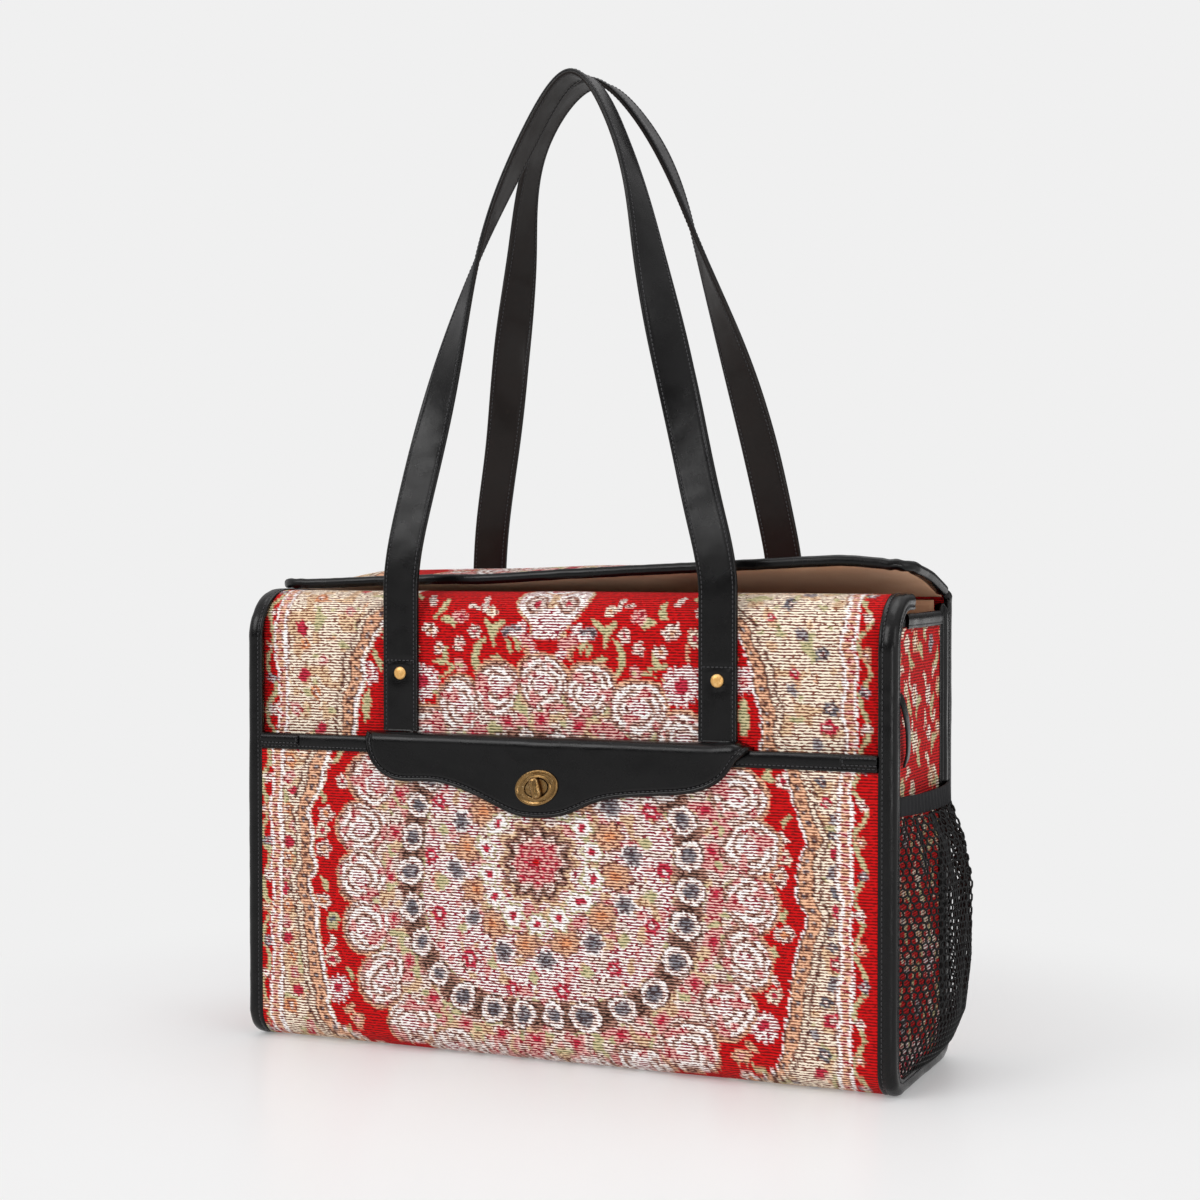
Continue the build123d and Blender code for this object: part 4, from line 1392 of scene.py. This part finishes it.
shares = np.concatenate([np.linspace(0, 0.84, 34), np.linspace(0.86, 1.0, 26)])
pt = edgeLine[:, 2][None, :] * shares[:, None]
px = np.repeat(edgeLine[:, 0][None, :], len(shares), 0)
gap = np.full(px.shape, 99.0)
for spot in edgeLine[4:-4]:
    gap = np.minimum(gap, np.hypot(px - spot[0], pt - spot[2]))
gap[-1] = 0
offset = np.interp(gap, [p[0] for p in flapSizes["bead"]], [-p[1] for p in flapSizes["bead"]])
offset = offset + 0.35 * (drift(px, pt, 30, 91) - 0.5) * ease(4, 12, gap)
back = np.interp(gap, [0.0, 0.25, 0.8], [-1.25, -1.9, -2.4])
outerFace = bendFlap(px, pt, offset)
innerFace = bendFlap(px, pt, back)
rows, columns = px.shape
points = np.concatenate([outerFace.reshape(-1, 3), innerFace.reshape(-1, 3)])
under, low = rows * columns, (rows - 1) * columns
faces = gridFaces(rows, columns, 0, flip=True).tolist() + gridFaces(rows, columns, under).tolist()
for j in range(columns - 1):
    faces.append([j, j + 1, under + j + 1, under + j])
    faces.append([low + j + 1, low + j, under + low + j, under + low + j + 1])
for i in range(rows - 1):
    a, b = i * columns, (i + 1) * columns
    faces.append([b, a, under + a, under + b])
    a, b = a + columns - 1, b + columns - 1
    faces.append([a, b, under + b, under + a])
flap = makeObject("pocketFlap", points, faces, leather)
seatPiece(flap, "bag", "pocket_flap")
way = np.gradient(edgeLine[:, [0, 2]], axis=0)
way /= np.linalg.norm(way, axis=1)[:, None]
inset = edgeLine[:, [0, 2]] + np.stack([way[:, 1], -way[:, 0]], 1) * flapSizes["stitch"]
row = bendFlap(inset[6:-6, 0], inset[6:-6, 1], -0.3)
normal = bendFlap(inset[6:-6, 0], inset[6:-6, 1], 0.7) - row
addStitches("flapStitches", row, normal, flapSizes["pitch"])
print("flap made")

# turn lock: an eyelet plate on the flap, and the bar that turns in it
lockSizes = {
    "x": -7.0,
    "z": 170.2,
    "tilt": 15.0,
    "plate": [  # half length, half height, height above the flap
        (14.3, 10.55, 0.0), (14.5, 10.75, 0.5), (14.45, 10.7, 1.1), (14.1, 10.35, 1.5), (13.5, 9.75, 1.62),
        (12.9, 9.15, 1.45), (12.45, 8.7, 1.05), (12.0, 8.35, 0.95), (10.3, 7.4, 0.95), (9.8, 7.1, 1.1),
        (9.35, 6.75, 1.42), (8.85, 6.4, 1.6), (8.35, 6.0, 1.5), (8.05, 5.8, 1.1), (8.0, 5.75, 0.4),
        (8.0, 5.75, -2.6),
    ],
    "around": 64,
    "stem": [(2.2, 2.2, -8.0), (2.2, 2.2, 0.3)],
    "bar": (3.25, 6.75),  # half width and half height
    "knob": [  # narrowing of the bar, height
        (0.4, 0.25), (0.0, 0.6), (0.0, 2.0), (0.25, 2.6), (0.8, 3.1), (1.6, 3.5), (2.5, 3.62), (3.15, 3.65),
    ],
}
tilt = math.radians(lockSizes["tilt"])
lockAt = (lockSizes["x"], flapLow[1], lockSizes["z"])
around = lockSizes["around"]
points, faces = sweep(lathe(lockSizes["plate"], lockAt, (0, -1, 0), tilt, around))
faces, last = faces[:-2], (len(lockSizes["plate"]) - 1) * around
for k in range(around):  # closes the back between the outer edge and the eye
    faces.append([k, (k + 1) % around, last + (k + 1) % around, last + k])
plate = makeObject("lockPlate", points, faces, antiqueBrass)
seatPiece(plate, "bag", "lock_plate")

plateFace = nodeBox("lock_plate")[0][1]


def slotRing(narrow, height, around=40):
    # a bar with round ends, standing up across the plate, drawn in by narrow
    wide, tall = lockSizes["bar"][0] - narrow, lockSizes["bar"][1] - min(narrow, 3.0)
    t = np.linspace(0, 2 * math.pi, around, endpoint=False)
    straight = max(tall - wide, 0.0)
    across = wide * np.cos(t)
    up = wide * np.sin(t) + np.sign(np.sin(t)) * straight
    first = np.array([math.cos(tilt), 0, math.sin(tilt)])
    second = np.array([-math.sin(tilt), 0, math.cos(tilt)])
    middle = np.array([lockSizes["x"], plateFace - height, lockSizes["z"]])
    return middle + np.outer(across, first) + np.outer(up, second)


stem = lathe(lockSizes["stem"], (lockSizes["x"], plateFace, lockSizes["z"]), (0, -1, 0), tilt, 40)
bar = np.array([slotRing(narrow, height) for narrow, height in lockSizes["knob"]])
points, faces = sweep(np.concatenate([stem, bar]))
knob = makeObject("lockKnob", points, faces, antiqueBrass)
seatPiece(knob, "knob", "lock_knob")
hidden = dict.fromkeys(
    ("lock_base", "lock_back_plate", "lock_washer", "front_rivet_backs", "rear_rivet_backs"), antiqueBrass
)
hidden["base_board"] = greyBoard
for name, material in hidden.items():
    nodes[name].data.materials.clear()
    nodes[name].data.materials.append(material)
print("lock made")

# short lid, hinged on the top seam of the back
lidSizes = {
    "reach": 86.0,
    "raise": 12.0,
    "half": 209.0,
    "corner": 13.0,
    "droop": 5.0,
    "puff": 9.5,
    "rows": 66,
    "columns": 290,
    "cloth": 1.7,
    "lining": 0.8,
    "liningRows": 40,
    "liningColumns": 120,
    "bindingSection": [  # in from the outer edge, height over the lining
        (7.0, 3.3), (6.2, 3.9), (5.0, 4.2), (4.3, 3.85), (3.5, 4.3), (2.2, 4.5), (0.9, 4.1), (0.15, 3.2),
        (0.0, 2.1), (0.35, 0.8), (1.2, 0.0), (2.6, -0.3), (5.0, -0.3), (6.8, 0.1), (7.2, 0.8), (7.2, 2.6),
    ],
    "bindingStep": 1.6,
    "stitchInset": 4.3,
    "pitch": 3.0,
}
hingeY, hingeZ = backFace - 3.5, frontTop - 4 + 0.6
restAngle = math.asin((frontTop + 0.8 + 0.6 - hingeZ) / (hingeY + 24))


def lidPoint(x, reach, height):
    along = np.clip((x + halfLength) / (2 * halfLength), 0, 1)
    angle = restAngle + math.radians(lidSizes["raise"]) * along**1.3
    sag = lidSizes["droop"] * ease(165, 214, x) * ease(35, 92, reach)
    sag = sag + 1.6 * ease(0, 1, (drift(x, x * 0, 60, 101) - 0.3)) * ease(20, 92, reach)
    y = hingeY - reach * np.cos(angle) + height * np.sin(angle)
    z = hingeZ + reach * np.sin(angle) + height * np.cos(angle) - sag
    return np.stack([x, y, z], -1)


def lidHalf(reach):
    r = lidSizes["corner"]
    over = np.clip(reach - (lidSizes["reach"] - r), 0, r)
    return lidSizes["half"] - (r - np.sqrt(r * r - over * over))


# lid cloth: runs on past the fold and down onto the top of the back
foldReach = np.linspace(0, lidSizes["reach"] + 0.5, lidSizes["rows"])
share = np.linspace(-1, 1, lidSizes["columns"])
reachGrid = np.repeat(foldReach[:, None], len(share), 1)
xGrid = share[None, :] * (lidHalf(np.minimum(foldReach, lidSizes["reach"]))[:, None] + 0.8)
puff = np.sin(np.pi * np.clip(reachGrid / lidSizes["reach"], 0, 1)) ** 0.8
puff = puff * (1 - ease(150, 206, np.abs(xGrid)))
dome = 0.9 * (drift(xGrid, reachGrid, 34, 111) - 0.4) + lidSizes["puff"] * puff
topGrid = lidPoint(xGrid, reachGrid, 3.0 + dome)
fold = []
for turn in np.linspace(0.15, 1.0, 7)[::-1]:
    y = hingeY + 3.3 * math.sin(turn * math.pi / 2) + 0.2
    z = hingeZ - 4.5 * turn + 3.0 * math.cos(turn * math.pi / 2)
    fold.append(np.stack([topGrid[0, :, 0], np.full(len(share), y), np.full(len(share), z)], 1))
grid = np.concatenate([np.array(fold), topGrid])
normal = gridNormals(grid)
if normal[..., 2].mean() < 0:
    normal = -normal
points, faces, keep = sheetShell(grid, normal, lidSizes["cloth"], 6)
flatV = np.concatenate([np.linspace(-9, -1.3, 7), foldReach])
uv = np.stack([np.tile(share * lidSizes["half"], len(flatV)), np.repeat(flatV, len(share))], 1)
paint = meltPaint(paintCarpet(uv[:, 0], 180 - uv[:, 1]), keep)
lidCloth = makeObject("lidPanel", points, faces, carpet, np.concatenate([uv, uv[keep]]), paint)
seatPiece(lidCloth, None, "lid_panel")
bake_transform(lidCloth)

reach = np.linspace(0.4, lidSizes["reach"], lidSizes["liningRows"])
share = np.linspace(-1, 1, lidSizes["liningColumns"])
reachGrid = np.repeat(reach[:, None], len(share), 1)
xGrid = share[None, :] * lidHalf(reach)[:, None]
under = lidPoint(xGrid, reachGrid, 0.9 + 0 * xGrid)
points, faces, _ = sheetShell(under, np.tile([0, 0, 1.0], (*xGrid.shape, 1)), lidSizes["lining"], 1)
lidLining = makeObject("lidLining", points, faces, lining)
seatPiece(lidLining, None, "lid_lining")
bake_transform(lidLining)

# binding round three sides of the lid
planRadius = lidSizes["corner"] + 3
outerHalf, outerReach = halfLength, lidSizes["reach"] + 6
plan = [(outerHalf, 6.0)]
for t in np.linspace(0, math.pi / 2, 14):
    inX, inReach = planRadius * (1 - math.cos(t)), planRadius * (1 - math.sin(t))
    plan.append((outerHalf - inX, outerReach - inReach))
plan = np.array(plan + [(-px, pr) for px, pr in plan[::-1]])
far = runLength(plan)
places = np.arange(0, far[-1], lidSizes["bindingStep"])
plan = pointsAt(places, far, plan)
ahead = np.gradient(plan, axis=0)
ahead /= np.linalg.norm(ahead, axis=1)[:, None]
outwards = np.stack([ahead[:, 1], -ahead[:, 0]], 1)
if (outwards[len(plan) // 2] * [0, 1]).sum() < 0:
    outwards = -outwards
bend = np.convolve(np.linalg.norm(np.gradient(outwards, axis=0), axis=1), np.ones(9) / 9, "same")
bend = bend / bend.max()
wave = drift(places, places * 0, 5, 121) - 0.5
section = np.array(lidSizes["bindingSection"])
shape = np.zeros((len(plan), len(section), 3))
ends = np.minimum(places, places[-1] - places)
shrink = np.sqrt(np.clip(1 - (1 - np.clip(ends / 3, 0, 1)) ** 2, 0.05, 1))
for k, (inward, height) in enumerate(section):
    a = 3.6 + (inward - 3.6) * shrink
    h = 2.2 + 1.3 * (height - 2.0) * shrink + 0.9 * wave * (0.2 + 1.6 * bend)
    spot = plan - outwards * (a + 0.5 * wave * bend)[:, None]
    shape[:, k] = lidPoint(spot[:, 0], spot[:, 1], h)
points, faces = sweep(shape)
lidBinding = makeObject("lidBinding", points, faces, leather)
seatPiece(lidBinding, "lid", "lid_binding")
spot = plan - outwards * lidSizes["stitchInset"]
line = lidPoint(spot[:, 0], spot[:, 1], np.full(len(spot), 4.7))
above = lidPoint(spot[:, 0], spot[:, 1], np.full(len(spot), 5.7)) - line
addStitches("lidStitches", line[4:-4], above[4:-4], lidSizes["pitch"])
print("lid made")

# net pocket on the right end
netSizes = {
    "pitch": 4.6,  # across the flats of one mesh
    "yarn": 0.7,
    "flatWidth": 134.0,
    "bulge": [(0.0, 4.0), (0.08, 14.0), (0.2, 22.0), (0.4, 26.0), (0.7, 26.0), (0.87, 20.0), (1.0, 9.0)],
    "gather": 2.4,
    "hollow": 5.0,  # one deep fold down its middle
}
netLow, netHigh = nodeBox("mesh_pocket")
bandLow, bandHigh = nodeBox("mesh_band")


def netSurface(share, height):
    # share runs from the front seam to the back seam, height from the floor of the pocket to the band
    up = (height - netLow[2]) / (netHigh[2] - netLow[2])
    bulge = np.interp(up, [p[0] for p in netSizes["bulge"]], [p[1] for p in netSizes["bulge"]])
    draw = 8.0 * (1 - ease(0, 0.14, up))
    y = (netLow[1] + draw) * (1 - share) + (netHigh[1] - draw) * share
    crown = np.clip(1 - np.abs(2 * share - 1) ** 2.3, 0, 1)
    folds = netSizes["gather"] * np.sin(share * 47 + 3 * np.sin(share * 9)) * ease(0.3, 1.0, up) * crown
    folds = folds - netSizes["hollow"] * np.exp(
        -(((share - 0.52 - 0.1 * up) / 0.07) ** 2)
    ) * ease(0.1, 0.5, up)
    return np.stack([netLow[0] + bulge * crown + folds + 0.5, y, height + 0 * share], -1)


step = netSizes["pitch"]
side = step / math.sqrt(3)
flatWide = netSizes["flatWidth"]
netPoints, netEdges, index = [], [], {}


def netKnot(a, b):  # the number of the knot at a place, made when first asked for
    key = (round(a * 20), round(b * 20))
    if key not in index:
        index[key] = len(netPoints)
        netPoints.append((a, b))
    return index[key]


for i in range(int(flatWide / step) + 1):
    for j in range(int((netHigh[2] - netLow[2]) / (1.5 * side)) + 1):
        a = (i + 0.5 * (j % 2)) * step
        b = netLow[2] + 1 + j * 1.5 * side
        corners = [(a + side * math.sin(t), b + side * math.cos(t)) for t in np.arange(6) * math.pi / 3]
        if max(c[0] for c in corners) > flatWide or max(c[1] for c in corners) > netHigh[2] + 1:
            continue
        if min(c[0] for c in corners) < 0 or min(c[1] for c in corners) < netLow[2]:
            continue
        knots = [netKnot(*c) for c in corners]
        for k in range(6):
            netEdges.append(tuple(sorted((knots[k], knots[(k + 1) % 6]))))
netEdges = sorted(set(netEdges))
flat = np.array(netPoints)
flat[:, 0] += 0.35 * (grain(flat[:, 0] * 3, flat[:, 1] * 3, 131) - 0.5)
placed = netSurface(flat[:, 0] / flatWide, flat[:, 1])


def startTree(name, sockets):
    # geometry in, the named sizes and materials, and geometry out
    tree = bpy.data.node_groups.new(name, "GeometryNodeTree")
    for socket, kind in {"Geometry": "Geometry", **sockets}.items():
        tree.interface.new_socket(socket, in_out="INPUT", socket_type=f"NodeSocket{kind}")
    tree.interface.new_socket("Geometry", in_out="OUTPUT", socket_type="NodeSocketGeometry")
    return tree, addNode(tree, "NodeGroupInput")


def threadTree():
    # thick yarn along every edge of a net
    tree, given = startTree("threadNet", {"Yarn Radius": "Float", "Yarn": "Material"})
    curve = addNode(tree, "GeometryNodeMeshToCurve", inputs={"Mesh": given.outputs["Geometry"]})
    ring = addNode(
        tree,
        "GeometryNodeCurvePrimitiveCircle",
        inputs={"Resolution": 4, "Radius": given.outputs["Yarn Radius"]},
    )
    tube = addNode(
        tree, "GeometryNodeCurveToMesh", inputs={"Curve": curve, "Profile Curve": ring, "Fill Caps": True}
    )
    real = addNode(tree, "GeometryNodeRealizeInstances", inputs={"Geometry": tube})
    painted = addNode(
        tree, "GeometryNodeSetMaterial", inputs={"Geometry": real, "Material": given.outputs["Yarn"]}
    )
    addNode(tree, "NodeGroupOutput", inputs={"Geometry": painted})
    return tree


def stitchTree():
    # one small sunk stitch on every point, lying along the seam
    sizes = {"Stitch Length": "Float", "Thread Radius": "Float", "Thread": "Material"}
    tree, given = startTree("sewnStitches", sizes)
    bead = addNode(tree, "GeometryNodeMeshUVSphere", inputs={"Segments": 6, "Rings": 4, "Radius": 1.0})
    size = addNode(
        tree,
        "ShaderNodeCombineXYZ",
        inputs={
            0: given.outputs["Thread Radius"],
            1: given.outputs["Thread Radius"],
            2: given.outputs["Stitch Length"],
        },
    )
    stretched = addNode(tree, "GeometryNodeTransform", inputs={"Geometry": bead, "Scale": size})
    seam = addNode(tree, "GeometryNodeInputNamedAttribute", {"data_type": "FLOAT_VECTOR"}, {"Name": "along"})
    turned = addNode(tree, "FunctionNodeAlignRotationToVector", {"axis": "Z"}, {"Vector": seam})
    sewn = addNode(
        tree,
        "GeometryNodeInstanceOnPoints",
        inputs={"Points": given.outputs["Geometry"], "Instance": stretched, "Rotation": turned},
    )
    real = addNode(tree, "GeometryNodeRealizeInstances", inputs={"Geometry": sewn})
    painted = addNode(
        tree, "GeometryNodeSetMaterial", inputs={"Geometry": real, "Material": given.outputs["Thread"]}
    )
    addNode(tree, "NodeGroupOutput", inputs={"Geometry": painted})
    return tree


def grow(name, points, edges, tree, inputs, material, attribute=None):
    # runs a node tree on points or edges and keeps the plain mesh
    mesh = bpy.data.meshes.new(name)
    mesh.from_pydata((np.asarray(points) * 0.001).tolist(), edges, [])
    if attribute is not None:
        layer = mesh.attributes.new("along", "FLOAT_VECTOR", "POINT")
        layer.data.foreach_set("vector", np.asarray(attribute, float).ravel())
    thing = bpy.data.objects.new(name, mesh)
    bpy.context.scene.collection.objects.link(thing)
    modifier = thing.modifiers.new("grow", "NODES")
    modifier.node_group = tree
    for item in tree.interface.items_tree:
        if item.in_out == "INPUT" and item.name in inputs:
            modifier[item.identifier] = inputs[item.name]
    graph = bpy.context.evaluated_depsgraph_get()
    made = bpy.data.meshes.new_from_object(thing.evaluated_get(graph))
    thing.modifiers.clear()
    thing.data = made
    made.name = name
    made.shade_smooth()
    if not made.materials:
        made.materials.append(material)
    return thing


yarnInputs = {"Yarn Radius": netSizes["yarn"] * 0.001, "Yarn": netYarn}
net = grow("meshPocket", placed, netEdges, threadTree(), yarnInputs, netYarn)
seatPiece(net, "bag", "mesh_pocket")

# elastic band round its mouth
bandSizes = {
    "height": 11.0, "length": 125, "bulge": 9.0, "thickness": 1.8, "pleat": 0.7, "columns": 190, "rows": 8
}
shareGrid, upGrid = np.meshgrid(np.linspace(0, 1, bandSizes["columns"]), np.linspace(0, 1, bandSizes["rows"]))
crown = np.clip(1 - np.abs(2 * shareGrid - 1) ** 2.3, 0, 1)
pleats = bandSizes["pleat"] * np.sin(shareGrid * 150 + 5 * np.sin(shareGrid * 7)) * (0.4 + 0.6 * (1 - upGrid))
grid = np.stack(
    [
        bandLow[0] + 1.6 + bandSizes["bulge"] * crown * (1 - 0.12 * upGrid) + pleats * crown,
        bandLow[1] * (1 - shareGrid) + bandHigh[1] * shareGrid,
        bandLow[2] + bandSizes["height"] * upGrid,
    ],
    -1,
)
way = np.tile([1.0, 0, 0], (*shareGrid.shape, 1))
points, faces, keep = sheetShell(grid, way, bandSizes["thickness"], 1)
uv = np.stack([shareGrid.ravel() * bandSizes["length"], upGrid.ravel() * bandSizes["height"]], 1)
band = makeObject("meshBand", points, faces, elastic, np.concatenate([uv, uv[keep]]))
seatPiece(band, "bag", "mesh_band")

# small leather tab that hangs from the front seam of the right end
tabSizes = {
    "route": [
        (213.6, -57, 230), (215.6, -55, 224), (216.8, -52, 214), (216.6, -49, 203), (215.4, -46.5, 195),
        (213.8, -45.5, 190.5),
    ],
    "width": 7.5,
    "leather": 1.5,
    "stations": 40,
}
line, along = splineThrough(tabSizes["route"], (0.5, 0.4, -0.7), (-0.5, 0.4, -0.7), tabSizes["stations"])
across = np.cross(along, [1.0, 0, 0])
across /= np.linalg.norm(across, axis=1)[:, None]
outward = np.cross(across, along)
outward *= np.sign(outward[:, :1])
half, deep = tabSizes["width"] / 2, tabSizes["leather"] / 2
section = [
    (-half, 0), (-half + 0.3, deep * 0.8), (-half + 1, deep), (0, deep * 0.9), (half - 1, deep),
    (half - 0.3, deep * 0.8), (half, 0),
]
section += [(a, -o) for a, o in section[1:-1][::-1]]
shape = np.stack([line + across * a + outward * o for a, o in section], 1)
points, faces = sweep(shape)
tab = makeObject("sideTab", points, faces, leather)
seatPiece(tab, "bag", "side_tab")
print("net pocket, band and tab made")


# every gathered stitch row, sewn group by group
stitching = stitchTree()
stitchSizes = {"Stitch Length": 0.00115, "Thread Radius": 0.00042, "Thread": waxedThread}
for group in ("bagStitches", "strapStitches", "flapStitches", "lidStitches"):
    spots, along = (np.concatenate(part) for part in zip(*stitchRows[group]))
    sewn = grow(group, spots, [], stitching, stitchSizes, waxedThread, along)
    seatPiece(sewn, "lid" if group == "lidStitches" else "bag", None)
print("stitches made")

# camera, floor and light
viewSizes = {"yaw": 23.26, "pitch": 1.19, "distance": 1.3578, "lens": 64.37, "target": (0.0031, 0.0, 0.2824)}
yaw, pitch = math.radians(viewSizes["yaw"]), math.radians(viewSizes["pitch"])
back = Vector((math.sin(yaw) * math.cos(pitch), -math.cos(yaw) * math.cos(pitch), math.sin(pitch)))
camera = bpy.data.objects.new("camera", bpy.data.cameras.new("camera"))
camera.data.lens = viewSizes["lens"]
camera.data.sensor_width = 36.0
camera.data.clip_end = 60
camera.location = Vector(viewSizes["target"]) + back * viewSizes["distance"]
camera.rotation_euler = back.to_track_quat("Z", "Y").to_euler()
bpy.context.scene.collection.objects.link(camera)
bpy.context.scene.camera = camera

floorMaterial, tree, shader = startMaterial("paleStudioFloor")
place = addNode(tree, "ShaderNodeTexCoord").outputs["Object"]
fillSockets(tree, shader, {"Base Color": linear("f6f6f6"), "Roughness": 0.3, "Specular IOR Level": 0.3})
away = addNode(tree, "ShaderNodeVectorMath", {"operation": "LENGTH"}, {0: place})
fade = addNode(
    tree,
    "ShaderNodeMapRange",
    {"interpolation_type": "SMOOTHSTEP"},
    {"Value": away.outputs["Value"], "From Min": 0.2, "From Max": 0.55, "To Min": 0.25, "To Max": 1.0},
)
glow = addNode(tree, "ShaderNodeEmission", inputs={"Color": linear("f0f0f0"), "Strength": 1.0})
both = addNode(tree, "ShaderNodeMixShader", inputs={0: fade, 1: shader, 2: glow})
fillSockets(tree, tree.nodes["Material Output"], {"Surface": both})
floorMesh = bpy.data.meshes.new("floor")
floorMesh.from_pydata(
    [(-20, -20, -0.0003), (20, -20, -0.0003), (20, 20, -0.0003), (-20, 20, -0.0003)], [], [(0, 1, 2, 3)]
)
floorMesh.materials.append(floorMaterial)
floor = bpy.data.objects.new("floor", floorMesh)
bpy.context.scene.collection.objects.link(floor)

lightSizes = [
    # name, place, aim, size, power, all in metres and watts
    ("keyLight", (-1.3, -2.0, 1.7), (0, 0, 0.25), 1.3, 27.0),
    ("fillLight", (2.2, -1.0, 1.1), (0, 0, 0.25), 1.2, 10.0),
    ("topLight", (0.1, 0.2, 2.3), (0, 0, 0.2), 1.4, 16.0),
    ("lowLight", (1.1, -1.7, 0.12), (0, 0, 0.28), 0.5, 6.0),
]
for name, at, aim, size, power in lightSizes:
    lamp = bpy.data.lights.new(name, "AREA")
    lamp.size = size
    lamp.energy = power
    holder = bpy.data.objects.new(name, lamp)
    holder.location = at
    holder.rotation_euler = (Vector(at) - Vector(aim)).to_track_quat("Z", "Y").to_euler()
    bpy.context.scene.collection.objects.link(holder)

world = bpy.data.worlds.new("studio")
bpy.context.scene.world = world
world.use_nodes = True
tree = world.node_tree
tree.nodes.clear()
seen = addNode(tree, "ShaderNodeLightPath")
aim = addNode(tree, "ShaderNodeTexCoord").outputs["Generated"]
aimSplit = addNode(tree, "ShaderNodeSeparateXYZ", inputs={0: aim})
sky = addNode(
    tree,
    "ShaderNodeMapRange",
    {"interpolation_type": "SMOOTHSTEP"},
    {"Value": aimSplit.outputs[2], "From Min": 0.0, "From Max": 0.8, "To Min": 0.07, "To Max": 1.0},
)
sideways = addNode(tree, "ShaderNodeMath", {"operation": "ABSOLUTE"}, {0: aimSplit})
wings = addNode(
    tree,
    "ShaderNodeMapRange",
    {"interpolation_type": "SMOOTHSTEP"},
    {"Value": sideways, "From Min": 0.72, "From Max": 0.95, "To Min": 0.0, "To Max": 1.1},
)
soft = addNode(tree, "ShaderNodeMath", {"operation": "MAXIMUM"}, {0: sky, 1: wings})
shown = addNode(tree, "ShaderNodeBackground", inputs={"Color": linear("f0f0f0"), "Strength": 1.0})
light = addNode(tree, "ShaderNodeBackground", inputs={"Color": linear("f6f5f6"), "Strength": 0.66})
mirror = addNode(tree, "ShaderNodeBackground", inputs={"Color": linear("f6f5f6"), "Strength": soft})
room = addNode(tree, "ShaderNodeMixShader", inputs={0: seen.outputs["Is Glossy Ray"], 1: light, 2: mirror})
mixed = addNode(tree, "ShaderNodeMixShader", inputs={0: seen.outputs["Is Camera Ray"], 1: room, 2: shown})
addNode(tree, "ShaderNodeOutputWorld", inputs={"Surface": mixed})
bpy.context.scene.view_settings.view_transform = "Standard"
print("camera, floor and light set")
